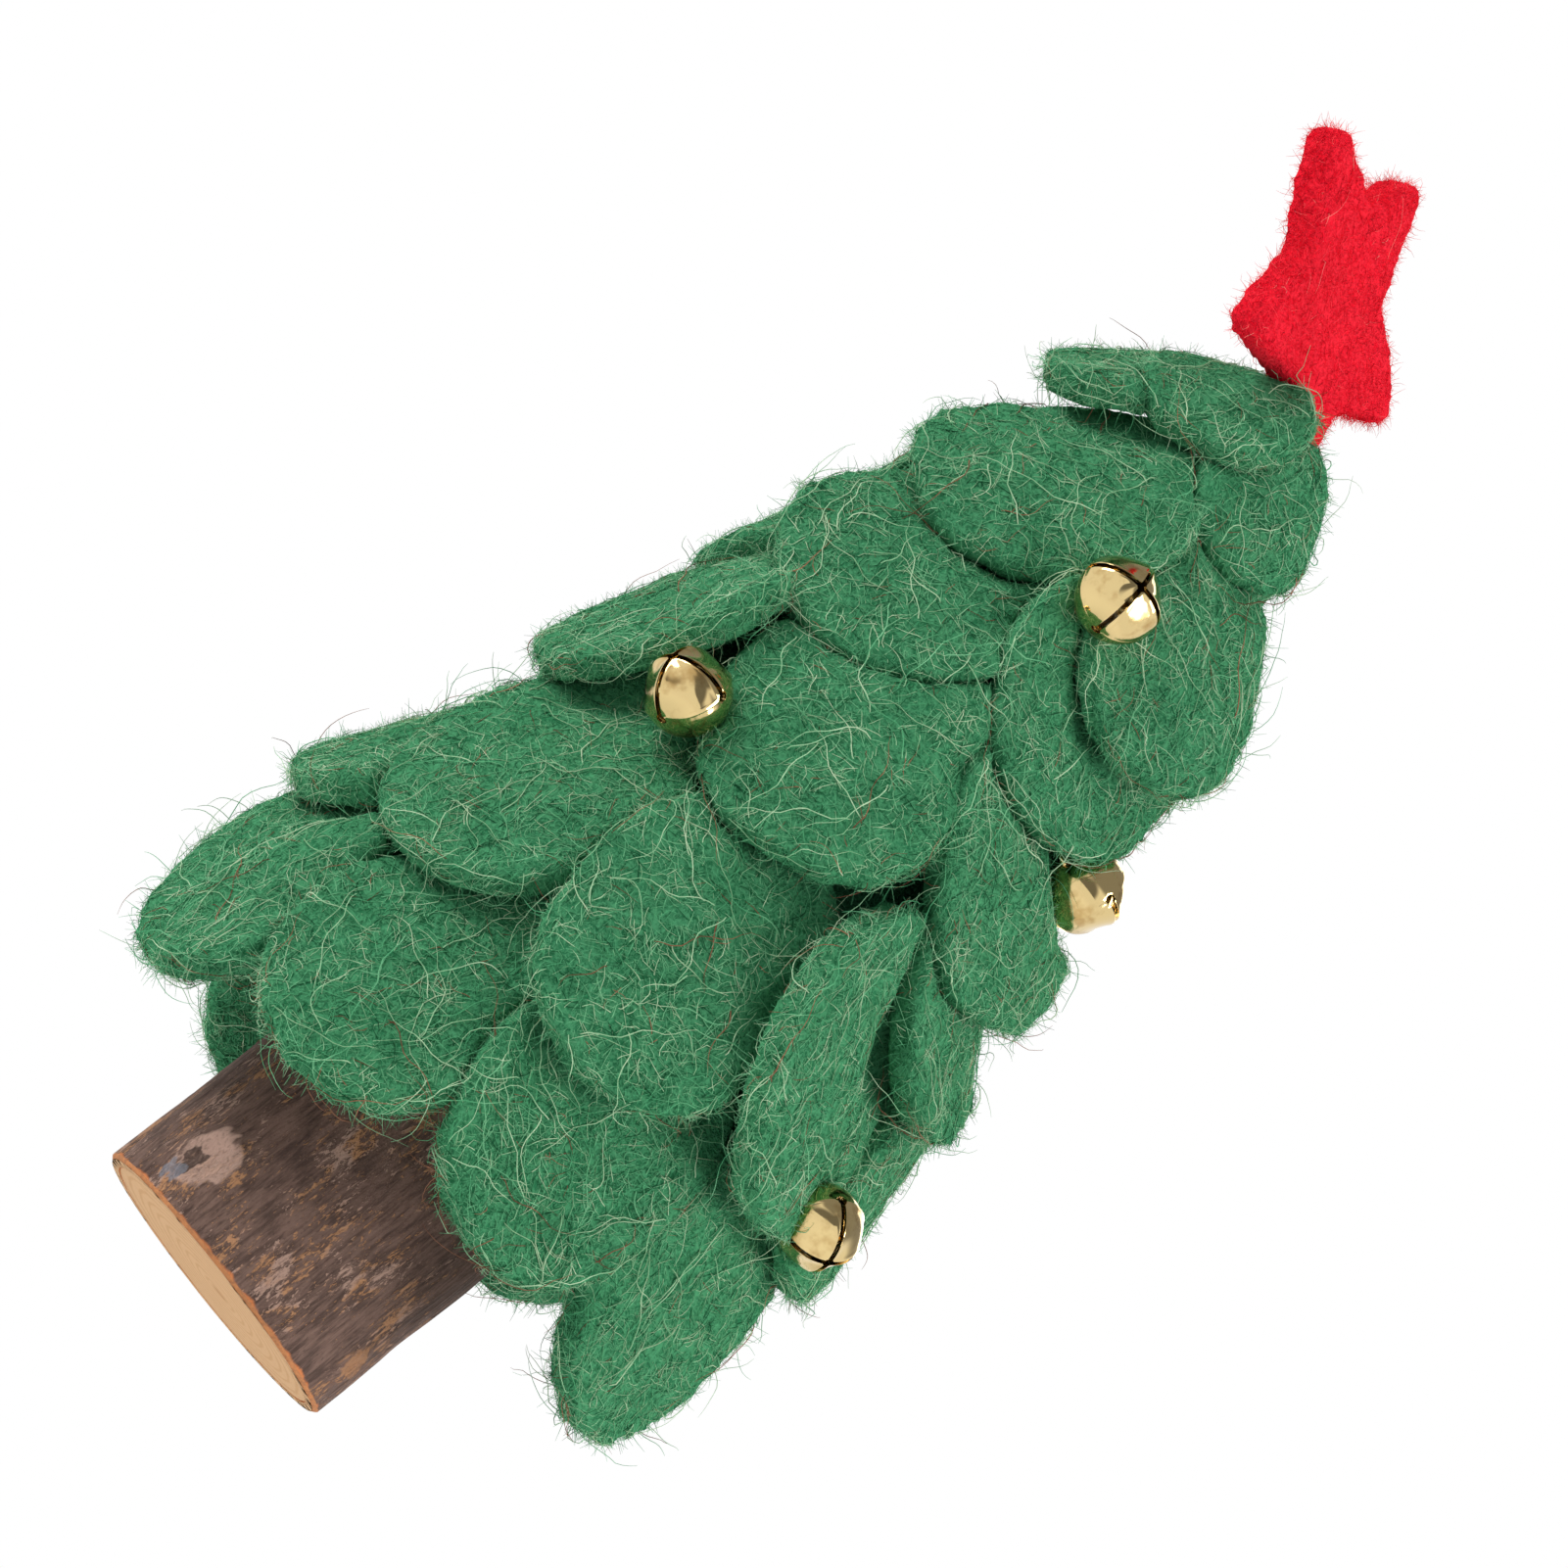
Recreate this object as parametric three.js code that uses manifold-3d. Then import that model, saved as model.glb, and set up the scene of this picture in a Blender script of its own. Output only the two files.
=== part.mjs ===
// Felt christmas tree ornament: a cone clothed in overlapping felt leaves, standing on a sawn length
// of branch, with a felt star set in its tip and small brass jingle bells glued on its leaves.
// Millimetres, +Z up. The origin is the middle of the sawn face that the tree stands on, and the
// tree's front looks along -Y. A turn is an angle round +Z in degrees, 0 at the front, + towards +X.
import * as THREE from 'three';
import { mergeVertices } from 'three/addons/utils/BufferGeometryUtils.js';
import Module from 'manifold-3d';

const wasm = await Module();
wasm.setup();

// Driving dimensions
const GAP = 0.3;                  // clearance between pieces that touch

const BRANCH_RADIUS = 15.0;       // over the bark, where the branch enters the cone
const BRANCH_FLARE = 0.3;         // how much wider the branch is at its sawn face
const BRANCH_SHOWN = 30;          // sawn face to the cone's underside
const BARK_THICKNESS = 1.1;
const SOCKET_DEPTH = 9;           // how far the branch goes up into the cone

const CONE_BASE_RADIUS = 24.6;
const CONE_TIP_RADIUS = 2.4;
const CONE_TIP_ROUNDING = 1.5;    // height of the rounded end
const CONE_HEIGHT = 95;

const LOWEST_TIER = -14;          // tips of the lowest tier, from the cone's underside
const TOP_TIER_DROP = 15.5;       // tips of the highest tier, down from the cone's tip

const FELT_THICKNESS = 3;
const LEAF_WRAP = 2.4;            // bend across a leaf, as times its middle's distance from the axis
const LEAF_FULLNESS = 2.3;        // 2 is an ellipse, more is squarer

const STAR_POINTS = 5;
const STAR_RADIUS = 19.4;         // to where the edges of a point would meet
const STAR_NOTCH_RADIUS = 9.8;
const STAR_POINT_ROUNDING = 0.3;  // share of each edge that the rounded point takes up
const STAR_FACING = 53;           // turn that the star's face looks along
const STAR_LEAN_BACK = 29;
const STAR_ROLL = -13;
const STAR_OFFSET = new THREE.Vector3(-6.6, 3, 10.8);  // its middle, from the middle of the cone's tip

const BELL_RADIUS = 4;
const BELL_WALL = 0.45;
const BELL_SLOT = 0.5;
const BELL_SLOT_HOLE = 0.55;      // radius of the round hole that ends each slot
const BELL_SLOT_REACH = 0.1;      // from the bell's middle plane up to the end holes
const BELL_BALL_RADIUS = 1.3;
const LOOP_WIRE = 0.6;
const LOOP_RADIUS = 0.9;

// Leaves, tier by tier from the lowest, in the order in which they are laid. Each runs from a root
// against the cone (its turn) to a tip: its turn, its height from the tier's level, and how far it stands
// out from the line of the cone's side. Two more numbers keep the root off the cone, for a leaf that is laid
// over its neighbour's edge, and twist the leaf round its length, + away from the front.
const leaf = (rootTurn, tipTurn, tipLift, stand, rootOff = 0, twist = 0) =>
  ({ rootTurn, tipTurn, tipLift, stand, rootOff, twist });
const TIERS = [
  { length: 31, width: 24, leaves: [
    leaf(109, 109, 4.5, 3.2),
    leaf(155, 154, 5.5, 3.2),
    leaf(206, 206, -0.8, 3.0),
    leaf(247, 246, 0.2, 2.0),
    leaf(-64, -58, -4.0, 0.4, 4.5),
    leaf(67, 66, 0.2, 3.8, 2.6, -14),
    leaf(-22, -22, -1.5, 2.4),
    leaf(21, 21, 0.8, 3.0),
  ] },
  { length: 31, width: 24.5, leaves: [
    leaf(-74, -73, -2.2, 7.6),
    leaf(78, 81, 4.3, 9.9, 6.5, -8),
    leaf(127, 129, 1.3, 7.2),
    leaf(227, 226, -0.2, 6.8),
    leaf(176, 178, 0.3, 7.4, 2.4),
    leaf(-54, -37.5, 0.1, 5.9, 1.2, 6),
    leaf(2, 10, -1.4, 6.8, 2.0),
    leaf(38, 53, 4.0, 9.2, 4.2, 14),
  ] },
  { length: 29, width: 25, leaves: [
    leaf(58, 75, 3.3, 11.9),
    leaf(-66, -74, 2.8, 7.8, 6.4, -6),
    leaf(230, 232, 3.6, 8.2),
    leaf(115, 118, 4.6, 8.6),
    leaf(168, 170, 3.6, 8.6, 2.4),
    leaf(-22, 1, 5.4, 7.4, 2.8),
    leaf(36, 65, 13.2, 10.8, 0.5),
  ] },
  { length: 27, width: 24, leaves: [
    leaf(-90, -93, 2.4, 9.0, 6.5),
    leaf(98, 100, 3.9, 7.4),
    leaf(212, 210, 3.9, 9.0),
    leaf(152, 156, 4.9, 9.2, 2.4),
    leaf(-8, -56, 5.7, 9.7, 2.8),
    leaf(14, 51, 8.9, 7.3, 2.6),
  ] },
  { length: 27, width: 23, leaves: [
    leaf(110, 114, 1.7, 9.6),
    leaf(178, 176, 0.7, 9.8, 2.0),
    leaf(240, 244, 1.2, 9.6),
    leaf(5, 58, 1.6, 11.3, 1.4),
    leaf(-5, -64, 2.6, 10.2, 2.0),
  ] },
  { length: 16, width: 15, leaves: [
    leaf(-84, -84, 1.0, 12.2, 3.0, 15),
    leaf(150, 158, -0.5, 8.8),
    leaf(-8, 46, 1.4, 5.0),
    leaf(10, -70, 7.0, 8.4, 0.6, -15),
  ] },
];

// Bells: turn, the tier that each hangs by and its height from that tier's level, how far its middle
// stands out from the line of the cone's side, the way that its slots look, and how far they are turned
// round that way
const BELLS = [
  { turn: -34, tier: 2, lift: 9.3, stand: 9.4, slotTurn: -57, slotRise: 9, slotRoll: -20 },
  { turn: 7, tier: 4, lift: 8.0, stand: 10.4, slotTurn: 6, slotRise: 23, slotRoll: -36 },
  { turn: 76, tier: 3, lift: 10.7, stand: 9.2, slotTurn: 122, slotRise: 0, slotRoll: 35 },
  { turn: 66, tier: 1, lift: 9.2, stand: 10.6, slotTurn: 55, slotRise: -25, slotRoll: 0 },
  { turn: 168, tier: 3, lift: 5.9, stand: 10.4, slotTurn: 170, slotRise: 0, slotRoll: 20 },
  { turn: 222, tier: 1, lift: 14.3, stand: 9.4, slotTurn: 218, slotRise: -8, slotRoll: -15 },
];

// Sizes that follow from those above
const CONE_BASE = BRANCH_SHOWN;
const CONE_TOP = CONE_BASE + CONE_HEIGHT;
const BRANCH_TOP = CONE_BASE + SOCKET_DEPTH;
const WOOD_RADIUS = BRANCH_RADIUS - BARK_THICKNESS - GAP;
const SOCKET_RADIUS = BRANCH_RADIUS + 2 * GAP;
const CONE_SLOPE = (CONE_BASE_RADIUS - CONE_TIP_RADIUS) / CONE_HEIGHT;
const TIER_RISE = (CONE_HEIGHT - TOP_TIER_DROP - LOWEST_TIER) / (TIERS.length - 1);
const LEAF_COVER = 2 * FELT_THICKNESS;  // in front of a leaf, kept free of the leaves that it lies over

// How finely round shapes are cut into facets
const BRANCH_SIDES = 36;
const BARK_RINGS = 4;
const CONE_SIDES = 32;
const CONE_TIP_RINGS = 3;
const LEAF_SIDES = 16;
const LEAF_RINGS = 2;
const STAR_CURVE_STEPS = 5;
const BELL_SIDES = 12;
const BELL_RINGS = 7;
const BALL_SIDES = 8;
const BALL_RINGS = 6;
const LOOP_SIDES = 5;
const LOOP_STEPS = 6;
const HOLE_SIDES = 8;

const MERGE_DISTANCE = 1e-4;      // corners nearer than this are one corner
const LEAF_FIT_PASSES = 12;       // rounds that settle a leaf's root on the cone

// Materials
const finish = (color, roughness, metalness = 0) =>
  new THREE.MeshStandardMaterial({ color, roughness, metalness });
const GREEN_FELT = finish(0x2d7d50, 0.95);
const RED_FELT = finish(0xe1192d, 0.95);
const BARK = finish(0x4a3628, 0.9);
const WOOD = finish(0xd8b98c, 0.75);
const CORE_FELT = finish(0x1f5236, 0.95);
const BRASS = finish(0xc8aa64, 0.25, 1);
const STEEL = finish(0x9a9a98, 0.35, 1);

// Solids and geometry
const radians = THREE.MathUtils.degToRad;

function polar(turn, radius, height) {
  return new THREE.Vector3(
    radius * Math.sin(radians(turn)), -radius * Math.cos(radians(turn)), height);
}

function welded(geometry) {
  const bare = geometry.clone();
  bare.deleteAttribute('normal');
  bare.deleteAttribute('uv');
  const joined = mergeVertices(bare, MERGE_DISTANCE);
  const corners = Array.from(joined.index.array);
  const kept = [];
  for (let i = 0; i < corners.length; i += 3) {
    const [a, b, c] = corners.slice(i, i + 3);
    if (a !== b && b !== c && c !== a) kept.push(a, b, c);
  }
  joined.setIndex(kept);
  return joined;
}

function solidFrom(geometry) {
  const joined = welded(geometry);
  return new wasm.Manifold(new wasm.Mesh({
    numProp: 3,
    vertProperties: new Float32Array(joined.attributes.position.array),
    triVerts: new Uint32Array(joined.index.array),
  }));
}

function geometryFrom(solid) {
  const mesh = solid.getMesh();
  const geometry = new THREE.BufferGeometry();
  geometry.setAttribute('position', new THREE.BufferAttribute(new Float32Array(mesh.vertProperties), 3));
  geometry.setIndex(Array.from(mesh.triVerts));
  geometry.computeVertexNormals();
  return geometry;
}

// The largest body of a solid that a cut may have left in pieces
function mainBody(solid) {
  return solid.decompose().reduce((best, body) => (body.volume() > best.volume() ? body : best));
}

// A lathe about +Z, with the profile as [radius, height] pairs that run up the outside
function turned(profile, sides) {
  const points = profile.map(([radius, height]) => new THREE.Vector2(radius, height));
  return welded(new THREE.LatheGeometry(points, sides).rotateX(Math.PI / 2));
}

function part(name, geometry, material) {
  const mesh = new THREE.Mesh(geometry, material);
  mesh.name = name;
  return mesh;
}

// The branch is not quite round: its radius swells and shrinks a little round its girth. Each wave has
// how often it goes round, its share of the radius and its phase.
const GIRTH_WAVES = [[2, 0.016, 0.4], [3, 0.011, 2.1], [5, 0.006, 4.0]];
const GIRTH_ROOM = GIRTH_WAVES.reduce((sum, [, share]) => sum + share, 0);

function weathered(geometry) {
  const place = geometry.attributes.position;
  for (let i = 0; i < place.count; i += 1) {
    const turn = Math.atan2(place.getX(i), -place.getY(i));
    const flare = (BRANCH_FLARE / BRANCH_RADIUS) * (1 - place.getZ(i) / BRANCH_TOP) ** 2;
    const swell = GIRTH_WAVES.reduce((sum, [waves, share, phase]) =>
      sum + share * Math.cos(waves * turn + phase), 1 - GIRTH_ROOM + flare);
    place.setX(i, place.getX(i) * swell);
    place.setY(i, place.getY(i) * swell);
  }
  return geometry;
}

function branchWood() {
  const profile = [[0, 0], [WOOD_RADIUS, 0], [WOOD_RADIUS, BRANCH_TOP], [0, BRANCH_TOP]];
  return weathered(turned(profile, BRANCH_SIDES));
}

function branchBark() {
  const inner = BRANCH_RADIUS - BARK_THICKNESS;
  const outside = Array.from({ length: BARK_RINGS + 1 }, (_, ring) =>
    [BRANCH_RADIUS, (BRANCH_TOP * ring) / BARK_RINGS]);
  return weathered(turned([[inner, 0], ...outside, [inner, BRANCH_TOP], [inner, 0]], BRANCH_SIDES));
}

// The radius on the line of the cone's side, at a height from its underside
const coneLine = (height) => CONE_BASE_RADIUS - CONE_SLOPE * height;

// A tier's level, from the cone's underside
const tierLevel = (tier) => LOWEST_TIER + TIER_RISE * tier;

// The cone, with a socket for the branch and a rounded tip; a margin makes it larger all round
function coneSolid(margin) {
  const socketTop = BRANCH_TOP + GAP;
  const tip = Array.from({ length: CONE_TIP_RINGS }, (_, ring) => {
    const angle = (Math.PI / 2) * (ring / CONE_TIP_RINGS);
    return [
      (CONE_TIP_RADIUS + margin) * Math.cos(angle),
      CONE_TOP - CONE_TIP_ROUNDING + (CONE_TIP_ROUNDING + margin) * Math.sin(angle),
    ];
  });
  return solidFrom(turned([
    [0, socketTop], [SOCKET_RADIUS, socketTop], [SOCKET_RADIUS, CONE_BASE - margin],
    [CONE_BASE_RADIUS + margin, CONE_BASE - margin], ...tip, [0, CONE_TOP + margin],
  ], CONE_SIDES));
}

// Where a leaf lies: its middle, and its axes down, across and out
function leafFrame({ rootTurn, tipTurn, tipLift, stand, rootOff, twist }, level, length) {
  const tipHeight = level + tipLift;
  const seat = GAP + FELT_THICKNESS / 2 + rootOff;
  const tip = polar(tipTurn, coneLine(tipHeight) + stand, CONE_BASE + tipHeight);
  let rootHeight = tipHeight + length;
  let root = tip;
  for (let pass = 0; pass < LEAF_FIT_PASSES; pass += 1) {
    const radius = coneLine(THREE.MathUtils.clamp(rootHeight, 0, CONE_HEIGHT)) + seat;
    root = polar(rootTurn, radius, CONE_BASE + rootHeight);
    const sideways = Math.hypot(tip.x - root.x, tip.y - root.y);
    rootHeight = tipHeight + Math.sqrt(Math.max(length ** 2 - sideways ** 2, 0));
  }
  const down = tip.clone().sub(root).normalize();
  const middle = tip.clone().addScaledVector(down, -length / 2);
  const out = new THREE.Vector3(middle.x, middle.y, 0).normalize();
  out.addScaledVector(down, -out.dot(down)).normalize().applyAxisAngle(down, -radians(twist));
  return { middle, down, out, across: out.clone().cross(down) };
}

// Triangles of one face of a leaf, counter-clockwise seen from outside: a middle point and rings
const ringPoint = (ring, side) => 1 + (ring - 1) * LEAF_SIDES + (side % LEAF_SIDES);
const LEAF_FACE = [];
for (let side = 0; side < LEAF_SIDES; side += 1) {
  LEAF_FACE.push([0, ringPoint(1, side), ringPoint(1, side + 1)]);
  for (let ring = 1; ring < LEAF_RINGS; ring += 1) {
    const [a, b] = [ringPoint(ring, side), ringPoint(ring, side + 1)];
    const [c, d] = [ringPoint(ring + 1, side), ringPoint(ring + 1, side + 1)];
    LEAF_FACE.push([a, c, d], [a, d, b]);
  }
}

// One face of a leaf, a height above its middle surface, bent round an axis that runs down the leaf
function leafFace({ middle, down, out, across }, length, width, height) {
  const rounded = (value) => Math.sign(value) * Math.abs(value) ** (2 / LEAF_FULLNESS);
  const bend = LEAF_WRAP * Math.hypot(middle.x, middle.y);
  const at = (along, aside) => middle.clone().addScaledVector(down, along)
    .addScaledVector(across, (bend + height) * Math.sin(aside / bend))
    .addScaledVector(out, (bend + height) * Math.cos(aside / bend) - bend);
  const points = [at(0, 0)];
  for (let ring = 1; ring <= LEAF_RINGS; ring += 1) {
    const share = ring / LEAF_RINGS / 2;
    for (let side = 0; side < LEAF_SIDES; side += 1) {
      const angle = (2 * Math.PI * side) / LEAF_SIDES;
      const along = share * length * rounded(Math.cos(angle));
      const aside = share * width * rounded(Math.sin(angle));
      points.push(at(along, aside));
    }
  }
  return points;
}

// A leaf as a closed felt sheet; a margin makes it larger all round, and a cover thicker in front
function leafSolid(frame, { length, width }, margin = 0, cover = 0) {
  const [long, wide] = [length + 2 * margin, width + 2 * margin];
  const outer = leafFace(frame, long, wide, FELT_THICKNESS / 2 + margin + cover);
  const inner = leafFace(frame, long, wide, -FELT_THICKNESS / 2 - margin);
  const count = outer.length;
  const corners = [];
  for (const [a, b, c] of LEAF_FACE) {
    corners.push(a, b, c, count + a, count + c, count + b);
  }
  for (let side = 0; side < LEAF_SIDES; side += 1) {
    const [a, b] = [ringPoint(LEAF_RINGS, side), ringPoint(LEAF_RINGS, side + 1)];
    corners.push(a, count + a, count + b, a, count + b, b);
  }
  const geometry = new THREE.BufferGeometry().setFromPoints([...outer, ...inner]);
  geometry.setIndex(corners);
  return solidFrom(geometry);
}

// The star, drawn flat and then set in the cone's tip; a margin makes it larger all round
function starShape(margin) {
  const corner = (i) => {
    const radius = (i % 2 === 0 ? STAR_RADIUS : STAR_NOTCH_RADIUS) + margin;
    const angle = Math.PI / 2 + (i * Math.PI) / STAR_POINTS;
    return new THREE.Vector2(radius * Math.cos(angle), radius * Math.sin(angle));
  };
  const shape = new THREE.Shape();
  for (let point = 0; point < 2 * STAR_POINTS; point += 2) {
    const [before, tip, after] = [corner(point - 1), corner(point), corner(point + 1)];
    const from = tip.clone().lerp(before, STAR_POINT_ROUNDING);
    const to = tip.clone().lerp(after, STAR_POINT_ROUNDING);
    if (point === 0) shape.moveTo(from.x, from.y);
    else shape.lineTo(from.x, from.y);
    shape.quadraticCurveTo(tip.x, tip.y, to.x, to.y);
    shape.lineTo(after.x, after.y);
  }
  return shape;
}

const starPlace = new THREE.Matrix4()
  .makeTranslation(STAR_OFFSET.x, STAR_OFFSET.y, CONE_TOP + STAR_OFFSET.z)
  .multiply(new THREE.Matrix4().makeRotationZ(radians(STAR_FACING)))
  .multiply(new THREE.Matrix4().makeRotationX(radians(90 - STAR_LEAN_BACK)))
  .multiply(new THREE.Matrix4().makeRotationZ(radians(STAR_ROLL)));

function starSolid(margin) {
  const depth = FELT_THICKNESS + 2 * margin;
  const geometry = new THREE.ExtrudeGeometry(starShape(margin), {
    depth,
    bevelEnabled: false,
    curveSegments: STAR_CURVE_STEPS,
  });
  return solidFrom(geometry.translate(0, 0, -depth / 2).applyMatrix4(starPlace));
}

// A jingle bell: its slots cross on +Z, its wire loop stands on -Z
function bellSphere(radius) {
  return new THREE.SphereGeometry(radius, BELL_SIDES, BELL_RINGS).rotateX(Math.PI / 2);
}

function bellShell() {
  const across = 3 * BELL_RADIUS;
  let shell = solidFrom(bellSphere(BELL_RADIUS)).subtract(solidFrom(bellSphere(BELL_RADIUS - BELL_WALL)));
  for (const angle of [Math.PI / 4, -Math.PI / 4]) {
    const slot = new THREE.BoxGeometry(across, BELL_SLOT, BELL_RADIUS)
      .translate(0, 0, BELL_SLOT_REACH + BELL_RADIUS / 2).rotateZ(angle);
    const ends = new THREE.CylinderGeometry(BELL_SLOT_HOLE, BELL_SLOT_HOLE, across, HOLE_SIDES)
      .rotateZ(Math.PI / 2).translate(0, 0, BELL_SLOT_REACH).rotateZ(angle);
    shell = shell.subtract(solidFrom(slot)).subtract(solidFrom(ends));
  }
  return geometryFrom(shell);
}

class LoopPath extends THREE.Curve {
  getPoint(share) {
    const angle = Math.PI * share;
    const drop = BELL_RADIUS + GAP + LOOP_RADIUS * Math.sin(angle);
    return new THREE.Vector3(LOOP_RADIUS * Math.cos(angle), 0, -drop);
  }
}

function bellLoop() {
  const section = new THREE.Shape();
  for (let side = 0; side < LOOP_SIDES; side += 1) {
    const angle = (2 * Math.PI * side) / LOOP_SIDES;
    const corner = [(LOOP_WIRE / 2) * Math.cos(angle), (LOOP_WIRE / 2) * Math.sin(angle)];
    if (side === 0) section.moveTo(...corner);
    else section.lineTo(...corner);
  }
  section.closePath();
  return new THREE.ExtrudeGeometry(section, {
    steps: LOOP_STEPS,
    bevelEnabled: false,
    extrudePath: new LoopPath(),
  });
}

function bellBall() {
  return new THREE.SphereGeometry(BELL_BALL_RADIUS, BALL_SIDES, BALL_RINGS);
}

// The room that a bell and its loop take up where they are pressed into the felt
function bellRoom(place) {
  const depth = BELL_RADIUS + LOOP_RADIUS + LOOP_WIRE / 2 + 2 * GAP;
  const side = 2 * LOOP_RADIUS + LOOP_WIRE + 2 * GAP;
  const loop = new THREE.BoxGeometry(side, LOOP_WIRE + 2 * GAP, depth).translate(0, 0, -depth / 2);
  const shell = bellSphere(BELL_RADIUS + GAP);
  return solidFrom(shell.applyMatrix4(place)).add(solidFrom(loop.applyMatrix4(place)));
}

function bellPlace({ turn, tier, lift, stand, slotTurn, slotRise, slotRoll }) {
  const height = tierLevel(tier) + lift;
  const out = polar(slotTurn, Math.cos(radians(slotRise)), Math.sin(radians(slotRise)));
  const place = new THREE.Matrix4().lookAt(out, new THREE.Vector3(), new THREE.Vector3(0, 0, 1))
    .multiply(new THREE.Matrix4().makeRotationZ(radians(slotRoll)));
  return place.setPosition(polar(turn, coneLine(height) + stand, CONE_BASE + height));
}

// How far from a bell's middle its ball can go before it meets the faceted inside of the shell
const FACET_LOSS = Math.cos(Math.PI / BELL_SIDES) * Math.cos(Math.PI / (2 * BELL_RINGS));
const BALL_ROAM = (BELL_RADIUS - BELL_WALL) * FACET_LOSS - BELL_BALL_RADIUS - GAP;

// The whole tree
const tree = new THREE.Group();

tree.add(part('trunk_wood', branchWood(), WOOD));
tree.add(part('trunk_bark', branchBark(), BARK));

const starRoom = starSolid(GAP);
tree.add(part('felt_star', geometryFrom(starSolid(0)), RED_FELT));
tree.add(part('cone_core', geometryFrom(coneSolid(0).subtract(starRoom)), CORE_FELT));

// A leaf gives way to the leaves that are laid over it, and to the cone and the star
const leaves = TIERS.flatMap((tier, tierIndex) => tier.leaves.map((spec, leafIndex) => {
  const frame = leafFrame(spec, tierLevel(tierIndex), tier.length);
  return {
    name: `tier${tierIndex + 1}_leaf${leafIndex + 1}`,
    solid: leafSolid(frame, tier),
    room: leafSolid(frame, tier, GAP, LEAF_COVER),
  };
}));
const fixedRooms = [coneSolid(GAP), starRoom];
leaves.forEach((below, index) => {
  const rooms = [...fixedRooms, ...leaves.slice(index + 1).map((above) => above.room)];
  below.solid = rooms.reduce((solid, room) => solid.subtract(room), below.solid);
});

BELLS.forEach((spec, index) => {
  const place = bellPlace(spec);
  const room = bellRoom(place);
  for (const leafPart of leaves) leafPart.solid = leafPart.solid.subtract(room);
  const bell = new THREE.Group();
  bell.applyMatrix4(place);
  bell.add(part(`bell${index + 1}_shell`, bellShell(), BRASS));
  bell.add(part(`bell${index + 1}_loop`, bellLoop(), BRASS));
  tree.add(bell);
  const ball = part(`bell${index + 1}_ball`, bellBall(), STEEL);
  ball.position.setFromMatrixPosition(place);
  ball.position.z -= BALL_ROAM;
  tree.add(ball);
});

for (const { name, solid } of leaves) {
  tree.add(part(name, geometryFrom(mainBody(solid)), GREEN_FELT));
}

export default tree;
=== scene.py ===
"""Looks for the felt christmas tree: wool felt leaves and a felt star with their loose fibres, brass
jingle bells and a sawn branch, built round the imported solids. Lengths are in metres, +Z is up and the
tree's front looks along -Y."""

import logging
import math
import random
from collections.abc import Iterable
from dataclasses import dataclass
from enum import Enum

import bmesh
import bpy
import numpy
from mathutils import Matrix, Quaternion, Vector, noise
from mathutils.bvhtree import BVHTree


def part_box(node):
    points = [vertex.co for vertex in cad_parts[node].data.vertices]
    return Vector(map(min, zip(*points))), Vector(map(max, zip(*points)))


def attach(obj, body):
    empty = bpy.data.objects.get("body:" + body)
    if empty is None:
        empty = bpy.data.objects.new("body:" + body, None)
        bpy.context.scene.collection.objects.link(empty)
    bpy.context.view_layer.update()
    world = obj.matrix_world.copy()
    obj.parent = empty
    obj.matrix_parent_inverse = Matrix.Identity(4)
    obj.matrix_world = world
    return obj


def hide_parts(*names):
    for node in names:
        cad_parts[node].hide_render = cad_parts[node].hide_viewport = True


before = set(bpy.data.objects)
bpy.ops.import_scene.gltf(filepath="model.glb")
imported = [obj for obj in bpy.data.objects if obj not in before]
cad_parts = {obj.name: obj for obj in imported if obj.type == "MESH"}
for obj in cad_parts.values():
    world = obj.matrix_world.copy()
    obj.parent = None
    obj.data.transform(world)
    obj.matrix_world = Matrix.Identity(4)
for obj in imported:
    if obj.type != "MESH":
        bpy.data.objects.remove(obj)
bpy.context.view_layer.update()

logging.basicConfig(level=logging.INFO, format="%(name)s: %(message)s")
LOG = logging.getLogger("felt_tree")

Colour = tuple[float, float, float, float]
Socket = bpy.types.NodeSocket

MM = 0.001
WELD = 0.001 * MM
SMOOTH_SHARE = 0.5                  # how far one smoothing pass moves a vertex to its neighbours' middle
NOISE_MIDDLE = 0.5                  # the value that a noise pattern swings about
TREE_BODY = "tree"
CORE_NODE = "cone_core"


class Slot(Enum):
    """The record's material slots."""

    GREEN_FELT = "green_felt"
    RED_FELT = "red_felt"
    CORE_FELT = "core_felt"
    BARK = "bark"
    WOOD = "sawn_wood"
    BRASS = "brass"
    STEEL = "steel"


def srgb(red: int, green: int, blue: int) -> Colour:
    """Turn a screen colour into the linear colour that a shader takes.

    Args:
        red: Red, from 0 to 255.
        green: Green, from 0 to 255.
        blue: Blue, from 0 to 255.

    Returns:
        Linear red, green and blue, with an alpha of 1.
    """
    shares = [level / 255 for level in (red, green, blue)]
    linear = [s / 12.92 if s <= 0.04045 else ((s + 0.055) / 1.055) ** 2.4 for s in shares]
    return (*linear, 1.0)


def ridge(place: float, middle: float, width: float) -> float:
    """Give the height of a soft ridge of height 1.

    Args:
        place: Where it is read.
        middle: Where its top is.
        width: How far from its top it has mostly fallen away.

    Returns:
        The height.
    """
    return math.exp(-((place - middle) / width) ** 2)


def outward(place: Vector) -> Vector:
    """Give the level way from the tree's axis to a place."""
    return Vector((place.x, place.y, 0)).normalized()


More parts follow.
